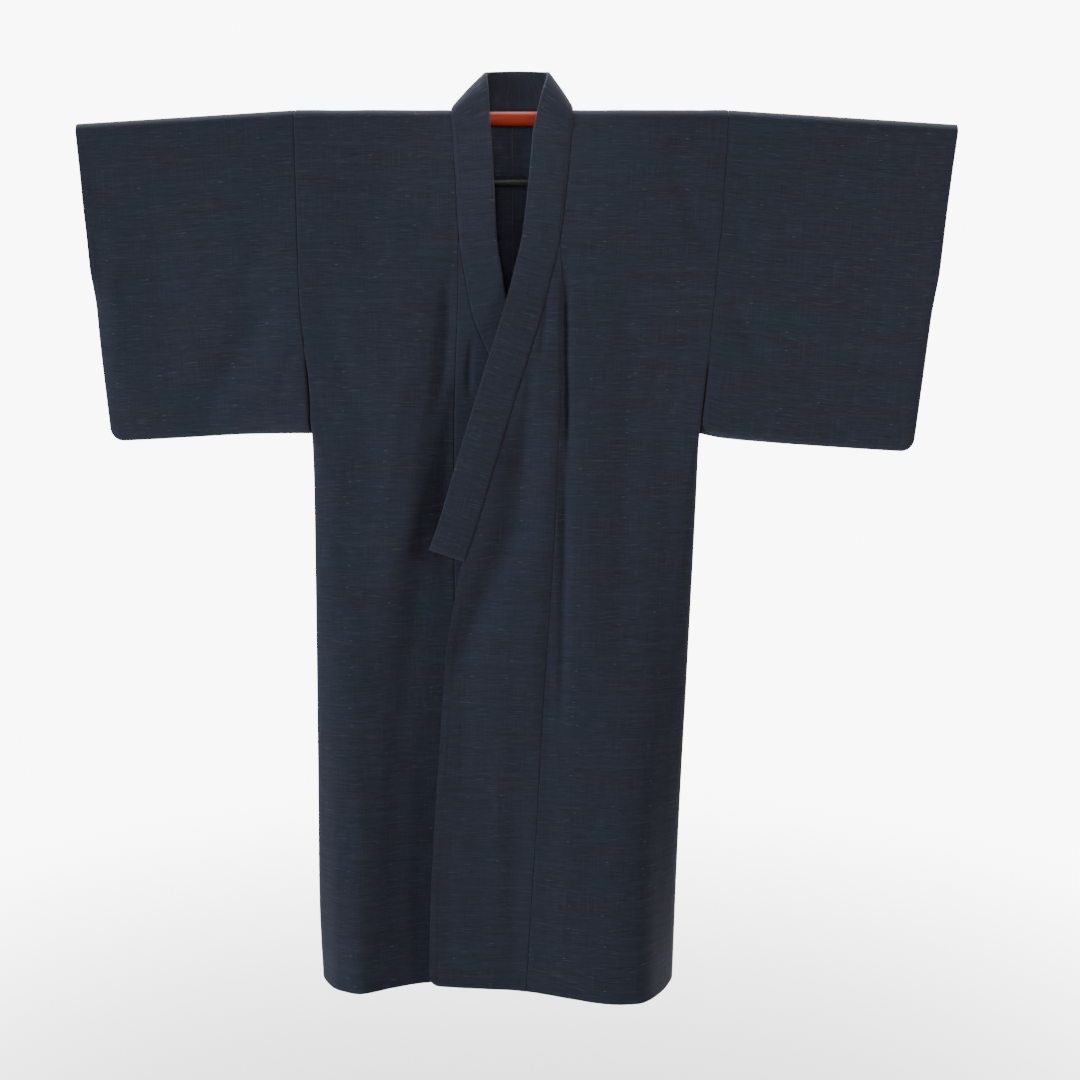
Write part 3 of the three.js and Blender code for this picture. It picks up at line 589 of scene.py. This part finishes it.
def corners(grid):
    """The four corners of each cell of a grid."""
    return np.stack([grid[:-1, :-1], grid[:-1, 1:], grid[1:, 1:], grid[1:, :-1]], -1).reshape(-1, 4)


def cloth_piece(name, points, cut, material, thickness=CLOTH):
    """A sheet of cloth from rows of points, NaN where there is none. cut is each point's place in
    the flat cloth, across and along the loom. Points that fall together become one."""
    count, across = points.shape[:2]
    there = ~np.isnan(points[..., 0])
    _, first, merged = np.unique(
        np.round(points[there] * MERGE_GRID).astype(int), axis=0, return_index=True, return_inverse=True
    )
    index = np.full((count, across), -1)
    index[there] = merged.ravel()
    grid = np.arange(count * across).reshape(count, across)
    quads, places = corners(index), corners(grid)
    whole = (quads >= 0).all(1)
    quads, places = quads[whole], places[whole]
    uses = np.bincount(merged.ravel(), minlength=len(first))
    faces, where = [], []
    for quad, spots in zip(quads.tolist(), places.tolist()):
        kept = [k for k in range(4) if quad[k] != quad[k - 1]]
        if len(set(quad)) < 3:
            continue
        if len(set(quad)) == 4 and sum(uses[v] > 1 for v in quad) == 3:
            odd = next(k for k in range(4) if uses[quad[k]] == 1)
            for turn in ((0, 1, 2), (0, 2, 3)):
                faces.append([quad[(odd + t) % 4] for t in turn])
                where.append([spots[(odd + t) % 4] for t in turn])
            continue
        faces.append([quad[k] for k in kept])
        where.append([spots[k] for k in kept])
    made = link_mesh(name, points[there][first] * MM, faces, material)
    flat = made.data.uv_layers.new(name="cut")
    spots = np.concatenate([np.array(w) for w in where])
    flat.data.foreach_set("uv", cut.reshape(-1, 2)[spots].astype(np.float32).ravel())
    wall = made.modifiers.new("cloth", "SOLIDIFY")
    wall.thickness = thickness * MM
    wall.offset = -1
    return made


STITCH = {"long": 1.8, "thick": 0.36, "apart": 9, "uneven": 1.1, "in_hem": 9.5, "in_edge": 10}
STITCH_SEEDS = {"hem": 51, "edge": 52, "cuff": 53}
FORWARDS = (0, -1, 0)
BACKWARDS = (0, 1, 0)
THREAD = (0.012, 0.0135, 0.018)
THREAD_WORN = (0.022, 0.025, 0.032)
STITCH_FACES = (
    (0, 2, 4), (2, 1, 4), (1, 3, 4), (3, 0, 4), (2, 0, 5), (1, 2, 5), (3, 1, 5), (0, 3, 5),
)


def place_across(points, distance, wanted):
    """The places of each row of points at the wanted distances across the cloth."""
    distance = np.broadcast_to(distance, points.shape[:2])
    return np.array([
        [np.interp(wanted, from_edge, row[:, k]) for k in range(3)]
        for row, from_edge in zip(points, distance)
    ]).transpose(0, 2, 1)


def stitches(name, lines, outwards, seed, material):
    """Small stitches of thread along lines of points, half sunk in the cloth, unevenly spaced."""
    uneven = np.random.default_rng(seed)
    points, faces = [], []
    for line, out in zip(lines, np.array(outwards, float)):
        reach = np.concatenate([[0], np.cumsum(np.linalg.norm(np.diff(line, axis=0), axis=1))])
        at = np.arange(STITCH["apart"] / 2, reach[-1] - STITCH["long"], STITCH["apart"])
        at = at + uneven.uniform(0, STITCH["uneven"], len(at))
        start, end = (
            np.stack([np.interp(at + more, reach, line[:, k]) for k in range(3)], -1)
            for more in (0, STITCH["long"])
        )
        for first, last in zip(start, end):
            middle, way = (first + last) / 2, (last - first) / 2
            aside = np.cross(out, way) / np.linalg.norm(way) * STITCH["thick"] / 2
            proud = out * STITCH["thick"] / 2
            base = len(points)
            for half in (way, aside, proud):
                points += [middle + half, middle - half]
            faces += [tuple(base + corner for corner in face) for face in STITCH_FACES]
    made = link_mesh(name, np.array(points) * MM, faces, material)
    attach(made, "root")
    return made


def thread_paint():
    """Dark cotton sewing thread, its twist showing as a faint change of tone."""
    made, shade = new_material("thread", {"Specular IOR Level": 0.3})
    twist = shade.node("TexCoord", output="Object").stretched(0.0012, 0.0012).noise(1.0)
    colour = twist.between(0.35, 0.7).mixed(THREAD, THREAD_WORN)
    return finish_material(made, {"Base Color": colour, "Roughness": 0.7 + twist * 0.2})


YARNS = table(
    "name across along shift detail roughness",
    ("weft", 26, 1.6, 0, 2.0, 0.6), ("slubs", 29, 2.3, 3, 1.0, 0.5), ("thin", 36, 1.9, 7, 1.0, 0.5),
    ("bands", 150, 7, 11, 2.0, 0.5), ("clouds", 120, 40, 17, 1.0, 0.5),
    ("warp", 1.3, 60, 23, 1.0, 0.5), ("threads", 0.9, 0.9, 29, 1.0, 0.5),
)
NEP_CELLS = (62, 13)
INK = (0.0233, 0.0257, 0.0425)
INK_LIGHT = (0.040, 0.053, 0.074)
INK_DARK = (0.0150, 0.0160, 0.0235)
TEAL = (0.0205, 0.0310, 0.0420)
UMBER = (0.0265, 0.0250, 0.0330)
NEP = (0.11, 0.14, 0.17)


def slub_cloth(name, shift, patches):
    """Plain-woven slub cotton: dark indigo warp, and a weft of uneven yarn whose thick and thin
    places show as short lighter and darker streaks, with a few pale neps."""
    finish = {"Specular IOR Level": 0.22, "Sheen Weight": 0.12, "Sheen Roughness": 0.5}
    made, shade = new_material(name, finish)
    flat = shade.node("UVMap", {"uv_map": "cut"})
    yarns = {}
    for row in YARNS:
        place = flat.stretched(row["across"], row["along"], shift + row["shift"])
        yarns[row["name"]] = place.noise(row["detail"], row["roughness"])
    cells = {"Vector": flat.stretched(*NEP_CELLS, shift), "Scale": 1.0}
    specks = shade.node("TexVoronoi", {"voronoi_dimensions": "2D"}, cells)
    chosen = shade.node("TexVoronoi", {"voronoi_dimensions": "2D"}, cells, "Color")
    chosen = shade.node("SeparateColor", {}, {"Color": chosen})
    colour = INK
    for yarn, low, high, strength, tint in (
        ("clouds", 0.45, 0.7, patches, TEAL), ("clouds", 0.52, 0.3, patches, UMBER),
        ("bands", 0.5, 0.75, 0.2, INK_LIGHT), ("bands", 0.5, 0.25, 0.25, INK_DARK),
        ("warp", 0.45, 0.8, 0.25, INK_LIGHT), ("weft", 0.46, 0.7, 0.30, INK_LIGHT),
        ("thin", 0.56, 0.72, 0.5, INK_DARK), ("slubs", 0.62, 0.78, 0.75, INK_LIGHT),
    ):
        colour = (yarns[yarn].between(low, high) * strength).mixed(colour, tint)
    colour = (specks.between(0.06, 0.02) * chosen.between(0.6, 0.95) * 0.45).mixed(colour, NEP)
    slubs = yarns["slubs"]
    height = yarns["weft"] * 0.6 + slubs.between(0.58, 0.76) * 0.8
    height = height + yarns["threads"] * 0.5 + yarns["warp"] * 0.3
    bump = shade.node("Bump", {}, {"Strength": 0.35, "Distance": 0.0005, "Height": height})
    rough = 0.94 - slubs.between(0.6, 0.76) * 0.1
    return finish_material(made, {"Base Color": colour, "Roughness": rough, "Normal": bump})


def body_layer(side, layer, z, inner):
    """Points and flat places of one layer of a panel, from the side edge to its inner edge."""
    sign = SIGN[side]
    outer = side_line[side](z)
    distance = columns(np.abs(outer - inner), ROUND_STEPS, SEAM_STEPS, SPANS["body"])
    outer, height = outer[:, None], z[:, None]
    x = outer - sign * distance
    from_seam = distance[:, -1:] - distance
    face = 1 if layer == "back" else -1
    closing = armhole_closing(height)
    depth = back_depth(x, height) if layer == "back" else front_depth(side, x, height)
    if layer == "front":
        depth = depth - seam_dip(from_seam) + pucker(from_seam, height, INNER_SEAM_SEEDS[side])
    drawn_in = seam_dip(distance) - pucker(distance, height, ARMHOLE_SEEDS[side])
    depth = depth - (1 - closing) * drawn_in
    depth = depth + hem_band(height - HEM)
    middle = (back_depth(outer, height) - front_depth(side, outer, height)) / 2
    y = middle + (face * depth - middle) * rounding(distance, side_round[side](height), closing)
    near_side = np.clip(1 - distance / HEM_SIDE_RISE["width"], 0, 1)
    lift = HEM_SIDE_RISE["height"] * near_side**2 * ease((HEM + HEM_FADE - height) / HEM_FADE)
    return np.stack([x, y, height + lift], -1), distance


def body_panel(side, material):
    """A panel from its front hem over the shoulder to its back hem."""
    sign = SIGN[side]
    up = down_rows(0, HEM, STEP["down"], HEM_STEPS)[:-1]
    down = up[::-1]
    seam = np.where(up >= FRONT_POINT, collar_line[side](up), overlap_seam[side](up))
    front, front_across = body_layer(side, "front", up, seam)
    neck_side = sign * NECK_HALF_WIDTH
    back, back_across = body_layer(side, "back", down, np.full(len(down), neck_side))
    level_rows, neck_rows = np.zeros(len(OVER)), np.full(len(OVER), neck_side)
    shoulder, over_across = body_layer(side, "front", level_rows, neck_rows)
    bumps = SHOULDER_BUMPS["share"] * np.abs(drift(shoulder[..., 0], 0, SEEDS["shoulder"]))
    radius = SHOULDER_RADIUS - seam_dip(over_across) + bumps * (over_across > SHOULDER_BUMPS["start"])
    shoulder[..., 1] = -radius * np.cos(OVER)[:, None]
    shoulder[..., 2] = radius * np.sin(OVER)[:, None]

    # The back runs on past the neck to the seam down its middle.
    past = columns([NECK_HALF_WIDTH], NECK_EDGE["steps"], SEAM_STEPS, SPANS["back_neck"])[0][1:]
    x = sign * (NECK_HALF_WIDTH - past)
    from_middle = past[-1] - past
    height = down[:, None]
    depth = back_depth(x[None], height) - seam_dip(from_middle)
    depth = depth + pucker(from_middle, height, SEEDS["middle_seam"]) + hem_band(height - HEM)
    past_back = np.stack(np.broadcast_arrays(x, depth, height), -1)
    share = ease(past / NECK_EDGE["reach"])
    level = np.interp(np.degrees(OVER), NECK_EDGE["turns"], NECK_EDGE["levels"])[:, None]
    arc_y, arc_z = shoulder[:, -1:, 1], shoulder[:, -1:, 2]
    edge_depth = NECK_EDGE["depth"] - seam_dip(from_middle) * NECK_EDGE["kept_dip"]
    past_over = np.stack(
        np.broadcast_arrays(x, arc_y + (edge_depth - arc_y) * share, arc_z + (level - arc_z) * share), -1
    )
    past_over[np.degrees(OVER) < NECK_EDGE["start"]] = np.nan

    none = np.full((len(front), len(past), 3), np.nan)
    points = np.concatenate([
        np.concatenate([front, none], 1),
        np.concatenate([shoulder, past_over], 1),
        np.concatenate([back, past_back], 1),
    ])
    arc = SHOULDER_RADIUS * OVER
    along = np.concatenate([up - HEM, arc - HEM, arc[-1] - HEM - down])
    across = np.concatenate([front_across, over_across, back_across])
    across = np.concatenate([across, across[:, -1:] + past[None]], 1)
    cut = np.stack(np.broadcast_arrays(across, along[:, None]), -1)
    if side == "left":
        points, cut = points[:, ::-1], cut[:, ::-1]
    return cloth_piece(f"{side}_body_cloth", points, cut, material)


def hem_stitches(side, material):
    """The line of stitches that holds the turned-up hem of a panel, in front and behind."""
    z = np.array([HEM + STITCH["in_hem"]])
    lines = []
    for layer, inner in (("front", overlap_seam[side](z)), ("back", np.zeros(1))):
        points, distance = body_layer(side, layer, z, inner)
        wanted = np.arange(HEM_SIDE_RISE["width"], distance[0, -1] - SEAM_STEPS[-1], STEP["down"])
        lines.append(place_across(points, distance, wanted)[0])
    return stitches(f"{side}_hem_stitches", lines, (FORWARDS, BACKWARDS), STITCH_SEEDS["hem"], material)


BODY_PATCHES = 0.35
BODY_SHIFTS = {"right": 2.0, "left": 41.0}
thread = thread_paint()
for side, shift in BODY_SHIFTS.items():
    piece = body_panel(side, slub_cloth(f"{side}_body_cloth", shift, BODY_PATCHES))
    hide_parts(f"{side}_body")
    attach(piece, "root")
    sewn = hem_stitches(side, thread)

# The overlap panels. Half a loom width runs down each front from the collar to the hem, cut
# slanting along the collar. Its front edge and hem are turned in and sewn down by hand.

COLLAR_END = -680
COLLAR_END_BLEND = {"start": 4, "reach": 24}
OVERLAP = {"top": -183, "rise": 5, "corner": 17, "patches": 0.3}
OVERLAP_SHIFTS = {"right": 77.0, "left": 93.0}
FREE_STEPS = (0, 0.6, 1.6, 4, 8, 10.4, 12.2, 15)
front_edge = both_sides(table(
    "z left right",
    (-680, -81, 49), (-754, -94, 52), (-832, -106, 54), (-935, -114, 56), (-1038, -121.7, 57),
    (-1144, -129, 57.5), (-1251, -135, 58), (-1384, -138, 58),
), "z")


def overlap_places(side, z):
    """Points of an overlap panel for rows of heights, with their distances from its two edges."""
    sign = SIGN[side]
    below = ease((COLLAR_END + COLLAR_END_BLEND["start"] - z) / COLLAR_END_BLEND["reach"])[:, None]
    outer, height = overlap_seam[side](z)[:, None], z[:, None]
    free = collar_line[side](height) * (1 - below) + front_edge[side](height) * below
    width = np.abs(outer - free)
    distance = columns(width[:, 0], SEAM_STEPS, FREE_STEPS, SPANS["overlap"])
    x = outer - sign * distance
    from_free = width - distance
    band = np.maximum(hem_band(from_free) * below, hem_band(height - HEM))
    depth = front_depth(side, x, height) - seam_dip(distance) - (1 - below) * seam_dip(from_free) + band
    depth = depth + pucker(distance, height, INNER_SEAM_SEEDS[side])
    corner = OVERLAP["corner"] - np.sqrt(
        OVERLAP["corner"]**2 - np.clip(OVERLAP["corner"] - from_free, 0, None)**2
    )
    lift = OVERLAP["rise"] * distance / width + corner
    height = height + lift * ease((HEM + HEM_FADE - height) / HEM_FADE)
    return np.stack(np.broadcast_arrays(x, -depth, height), -1), distance, from_free


def overlap_panel(side, material):
    """An overlap panel from the hem to its top beside the collar."""
    z = down_rows(OVERLAP["top"], HEM, STEP["down"], HEM_STEPS)
    points, distance, _ = overlap_places(side, z)
    cut = np.stack([distance, points[..., 2] - HEM], -1)
    if side == "left":
        points, cut = points[:, ::-1], cut[:, ::-1]
    return cloth_piece(f"{side}_overlap_cloth", points, cut, material)


def overlap_stitches(side, material):
    """Stitches up the turned-in front edge below the collar, and along the hem."""
    z = np.arange(HEM + STITCH["in_hem"], COLLAR_END - COLLAR_END_BLEND["reach"], STEP["down"])
    points, _, from_free = overlap_places(side, z)
    edge = place_across(points[:, ::-1], from_free[:, ::-1], [STITCH["in_edge"]])[:, 0]
    points, distance, _ = overlap_places(side, z[:1])
    wanted = np.arange(SEAM_STEPS[-1], distance[0, -1] - STITCH["in_edge"], STEP["down"])
    hem = place_across(points, distance, wanted)[0]
    return stitches(
        f"{side}_edge_stitches", (edge, hem), (FORWARDS, FORWARDS), STITCH_SEEDS["edge"], material
    )


for side, shift in OVERLAP_SHIFTS.items():
    piece = overlap_panel(side, slub_cloth(f"{side}_overlap_cloth", shift, OVERLAP["patches"]))
    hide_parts(f"{side}_overlap")
    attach(piece, "root")
    sewn = overlap_stitches(side, thread)

# The sleeves. Each is one loom width folded over the arm of the rod. It is sewn to the body
# down to the armhole's end, closed along the bottom, and open at the cuff's upper half.

SLEEVE_BLEND = 0.6
SLEEVE_PATCHES = 0.45
SLEEVE_SHIFTS = {"right": 121.0, "left": 150.0}
SLEEVE_LENGTH = 481
SLEEVE_CORNER = 20
SLEEVE_ROUND = {"left": 26, "right": 44, "armhole": 3}
SLEEVE_SEEDS = {"front": 32, "back": 31, "armhole": 33}
CUFF_END = -285
CUFF_BLEND = 70
FREE_SLEEVE_GAP = -0.3
cuff_line = both_sides(table(
    "z left right",
    (-8, 682, -667), (-115, 670.6, -659.5), (-234, 660, -651.4), (-347, 648.5, -645),
    (-461, 637, -636), (-510, 632, -632),
), "z")
sleeve_hem = both_sides(table(
    "share left right",
    (0, -481, -481), (0.1, -488, -481), (0.35, -496, -482.5), (0.6, -502, -487),
    (0.9, -508.5, -492), (1, -510, -493),
), "share")
CREASES["right_sleeve"] = table(
    "x1 z1 x2 z2 bow width depth",
    (-325, -215, -515, -510, 6, 27, 6.5), (-345, -120, -470, -330, -8, 22, 1.6),
    (-380, -60, -400, -440, 10, 26, 1.8), (-560, -70, -540, -470, -14, 30, 2.0),
    (-610, -140, -622, -470, 6, 16, -1.6), (-330, -330, -372, -470, 4, 10, 1.6),
    (-348, -98, -640, -104, 1, 3.2, 0.45), (-348, -107, -640, -114, -1, 4.0, -0.35),
)
CREASES["left_sleeve"] = table(
    "x1 z1 x2 z2 bow width depth",
    (340, -60, 372, -420, -8, 22, 2.2), (322, -240, 400, -430, -8, 13, 2.6),
    (430, -80, 452, -480, 12, 30, 2.0), (560, -90, 536, -490, -10, 28, 2.2),
    (606, -150, 612, -480, 5, 16, -1.6), (480, -220, 500, -470, -6, 18, -1.4),
    (346, -101, 655, -104, 1, 3.2, 0.45), (346, -110, 655, -114, -1, 4.0, -0.35),
)


def sleeve_places(side, distance, width, level, layer):
    """Points of one layer of a sleeve, at distances from the armhole and levels below the rod."""
    sign = SIGN[side]
    share, drop = distance / width, ARM["drop"] * distance
    corner = np.clip(SLEEVE_CORNER - (width - distance), 0, None)
    lift = SLEEVE_CORNER - np.sqrt(SLEEVE_CORNER**2 - corner**2)
    down = -level / SLEEVE_LENGTH
    z = -drop * (1 - down) + (sleeve_hem[side](share) + lift) * down
    seam = side_line[side](level)
    closed, cuff_closed = armhole_closing(level), ease((CUFF_END + CUFF_BLEND - level) / CUFF_BLEND)
    inner = seam + sign * FREE_SLEEVE_GAP * closed
    x = inner + (cuff_line[side](z) - inner) * share
    blend = ease(share / SLEEVE_BLEND)
    front = front_depth(side, seam, level) * (1 - blend) + hang_sleeve(level) * blend
    back = back_depth(seam, level) * (1 - blend) + hang_sleeve(level) * blend
    middle = (back - front) / 2
    shape = drift(x, z, SLEEVE_SEEDS[layer]) - crease_depth(CREASES[f"{side}_sleeve"], x, z)
    depth = (back if layer == "back" else front) + ease(-level / SHOULDER_CALM) * shape
    drawn_in = seam_dip(distance) - pucker(distance, level, SLEEVE_SEEDS["armhole"])
    depth = depth - (1 - closed) * drawn_in
    depth = depth + hem_band(width - distance) * (1 - cuff_closed)
    from_hem = (SLEEVE_LENGTH + level) / SLEEVE_LENGTH * (SLEEVE_LENGTH - drop)
    kept = rounding(distance, SLEEVE_ROUND["armhole"], closed)
    kept = kept * rounding(width - distance, SLEEVE_ROUND[side], cuff_closed)
    kept = kept * rounding(from_hem, SLEEVE_ROUND[side], 1)
    y = middle + ((depth if layer == "back" else -depth) - middle) * kept
    return np.stack(np.broadcast_arrays(x, y, z), -1)


def sleeve_columns(side):
    """A sleeve's width, and the distances of its columns from the armhole."""
    width = abs(cuff_line[side](0) - side_line[side](0))
    return width, columns([width], ROUND_STEPS, ROUND_STEPS, SPANS["sleeve"])


def sleeve(side, material):
    """A sleeve from the bottom of its front over the rod to the bottom of its back."""
    width, distance = sleeve_columns(side)
    level = down_rows(0, -SLEEVE_LENGTH, STEP["down"], ROUND_STEPS)[:-1]
    front = sleeve_places(side, distance, width, level[:, None], "front")
    back = sleeve_places(side, distance, width, level[::-1, None], "back")
    over = sleeve_places(side, distance, width, np.zeros((len(OVER), 1)), "front")
    radius = SHOULDER_RADIUS - seam_dip(distance)
    over[..., 1] = -radius * np.cos(OVER)[:, None]
    over[..., 2] = over[..., 2] + radius * np.sin(OVER)[:, None]
    points = np.concatenate([front, over, back])
    arc = SHOULDER_RADIUS * OVER
    along = np.concatenate([level, arc, arc[-1] - level[::-1]])
    cut = np.stack(np.broadcast_arrays(distance, along[:, None]), -1)
    if side == "right":
        points, cut = points[:, ::-1], cut[:, ::-1]
    return cloth_piece(f"{side}_sleeve_cloth", points, cut, material)


def cuff_stitches(side, material):
    """Stitches round the open part of a cuff, in front and behind."""
    width, distance = sleeve_columns(side)
    level = np.arange(-STITCH["in_edge"], CUFF_END, -STEP["down"])
    lines = []
    for layer in ("front", "back"):
        points = sleeve_places(side, distance, width, level[:, None], layer)
        lines.append(place_across(points, distance, [width - STITCH["in_edge"]])[:, 0])
    return stitches(f"{side}_cuff_stitches", lines, (FORWARDS, BACKWARDS), STITCH_SEEDS["cuff"], material)


for side, shift in SLEEVE_SHIFTS.items():
    piece = sleeve(side, slub_cloth(f"{side}_sleeve_cloth", shift, SLEEVE_PATCHES))
    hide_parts(f"{side}_sleeve")
    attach(piece, "root")
    sewn = cuff_stitches(side, thread)

# The collar. A long strip folded in two runs down the right front, round the neck and down the
# left front, and stands free over the rod. Its weft runs across the band.

COLLAR_WIDTH = 57
COLLAR_HALF = 1.5
COLLAR_CURL = 3
COLLAR_CROWN = 1.2
COLLAR_SET = 0.65
COLLAR = {"start": 0, "half": COLLAR_HALF, "dip": 0.9, "end_dip": 0.6, "thickness": 0.6}
COLLAR_ROWS = {"top": -28, "count": 110}
COLLAR_PATCHES = 0.25
COLLAR_SHIFT = 200.0
SLOPE_STEP = 8
BAND_STEP = 5
BAND_FACE = {"first": 11, "points": 12, "dip_reach": 3, "end_reach": 4}
BAND_WAVE = {"height": 0.5, "lengths": (31, 47)}
FOLD_TURNS = (60, 30, 0, -30, -60)

# The collar from the back of the neck to the front: its sewn edge at out, sewn_y and sewn_z, and
# its free edge at left or right, free_y and free_z.
NECK_ROLL = table(
    "out sewn_y sewn_z left right free_y free_z",
    (61, 11.9, 11.3, 34, -22, 16, 72), (80, 9.8, 12.0, 47, -32.5, 14, 71.2),
    (91.4, 6, 13.6, 52, -37.5, 8.5, 69.6), (92.2, 0, 14.0, 54.5, -40, 1, 67.4),
    (92.2, -7, 12.0, 54, -39.5, -7, 61.5), (92.0, -12, 7.0, 50, -37.5, -13, 48),
    (91.8, -14, 0, 44.5, -36, -16.5, 29), (91, -14.2, -13, 38.5, -35, -17.5, 3),
)
NECK_BACK = ((0, 11.9, 11.0), (6, 16.5, 72.6))


def collar_edges():
    """The collar's sewn and free edges from the end of the left front round the neck to the right's."""
    ends = {}
    for side, sign in SIGN.items():
        z = np.linspace(COLLAR_ROWS["top"], COLLAR_END, COLLAR_ROWS["count"])
        line = collar_line[side]
        turn = np.arctan((line(z + SLOPE_STEP) - line(z - SLOPE_STEP)) / (2 * SLOPE_STEP))
        ax = line(z)
        bx, bz = ax - sign * COLLAR_WIDTH * np.cos(turn), z + sign * COLLAR_WIDTH * np.sin(turn)
        sewn = np.stack([ax, COLLAR_SET - front_depth(side, ax, z), z], -1)
        free = np.stack([bx, COLLAR_SET - COLLAR_CURL - front_depth(side, bx, bz), bz], -1)
        neck_sewn = [(sign * row["out"], row["sewn_y"], row["sewn_z"]) for row in NECK_ROLL]
        neck_free = [(row[side], row["free_y"], row["free_z"]) for row in NECK_ROLL]
        ends[side] = np.concatenate([neck_sewn, sewn]), np.concatenate([neck_free, free])
    edges = [
        np.concatenate([ends["left"][k][::-1], [NECK_BACK[k]], ends["right"][k]]) for k in (0, 1)
    ]
    reach = np.linalg.norm(np.diff((edges[0] + edges[1]) / 2, axis=0), axis=1)
    reach = np.concatenate([[0], np.cumsum(reach)])
    even = np.linspace(0, reach[-1], int(reach[-1] / BAND_STEP))
    return curve(reach, edges[0])(even), curve(reach, edges[1])(even), even


def band_profile(start, half, dip):
    """Round a folded band: how far across it each point is and how far out of its middle."""
    turn_at = COLLAR_WIDTH - COLLAR_HALF
    face = np.linspace(start + BAND_FACE["first"], turn_at, BAND_FACE["points"])
    across = np.concatenate([start + np.array(SEAM_STEPS), face])
    out = half - dip * np.clip(1 - (across - start) / BAND_FACE["dip_reach"], 0, 1) ** 2
    turns = np.radians(FOLD_TURNS)
    across = np.concatenate([across, turn_at + half * np.cos(turns), across[::-1]])
    return across, np.concatenate([out, half * np.sin(turns), -out[::-1]])


def folded_band(name, kept, material, start, half, dip, end_dip, thickness):
    """A strip folded in two round the collar's line, along the part of it that is kept."""
    sewn, free, along = collar_edges()
    middle = sewn + free
    way = np.gradient(middle, axis=0)
    outwards = np.cross(way, free - sewn)
    outwards = outwards / np.linalg.norm(outwards, axis=1, keepdims=True)
    keep = kept(sewn[:, 2])
    sewn, free, outwards, along = sewn[keep], free[keep], outwards[keep], along[keep]
    across, profile = band_profile(start, half, dip)
    share = across / COLLAR_WIDTH
    from_end = np.minimum(along - along[0], along[-1] - along)[:, None]
    out = profile * (1 - end_dip * np.clip(1 - from_end / BAND_FACE["end_reach"], 0, 1) ** 2)
    short, long = (along[:, None] / length for length in BAND_WAVE["lengths"])
    wave = BAND_WAVE["height"] * np.sin(short) * np.sin(long + 1) * share
    crown = COLLAR_CROWN * np.sin(np.pi * np.clip(share, 0, 1)) + wave
    points = sewn[:, None] + (free - sewn)[:, None] * share[:, None]
    points = points + outwards[:, None] * (out + crown)[..., None]
    round_it = np.cumsum(np.concatenate([[0], np.hypot(np.diff(across), np.diff(profile))]))
    cut = np.stack(np.broadcast_arrays(round_it, along[:, None]), -1)
    return cloth_piece(name, points, cut, material, thickness)


collar_material = slub_cloth("collar_cloth", COLLAR_SHIFT, COLLAR_PATCHES)
collar = folded_band("collar_cloth", lambda z: z > HEM, collar_material, **COLLAR)
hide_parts("collar")
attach(collar, "root")

# The collar's cover. A second strip, which can be taken off to be washed, is wrapped round the
# neck part of the collar and tacked down. It ends level with the overlap panels' tips.

COVER_END = -178
COVER = {"start": 3, "half": 2.3, "dip": 0.5, "end_dip": 0.0, "thickness": 0.5}
COVER_SHIFT = 230.0
cover_material = slub_cloth("cover_cloth", COVER_SHIFT, COLLAR_PATCHES)
cover = folded_band("cover_cloth", lambda z: z >= COVER_END, cover_material, **COVER)
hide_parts("collar_cover")
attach(cover, "root")
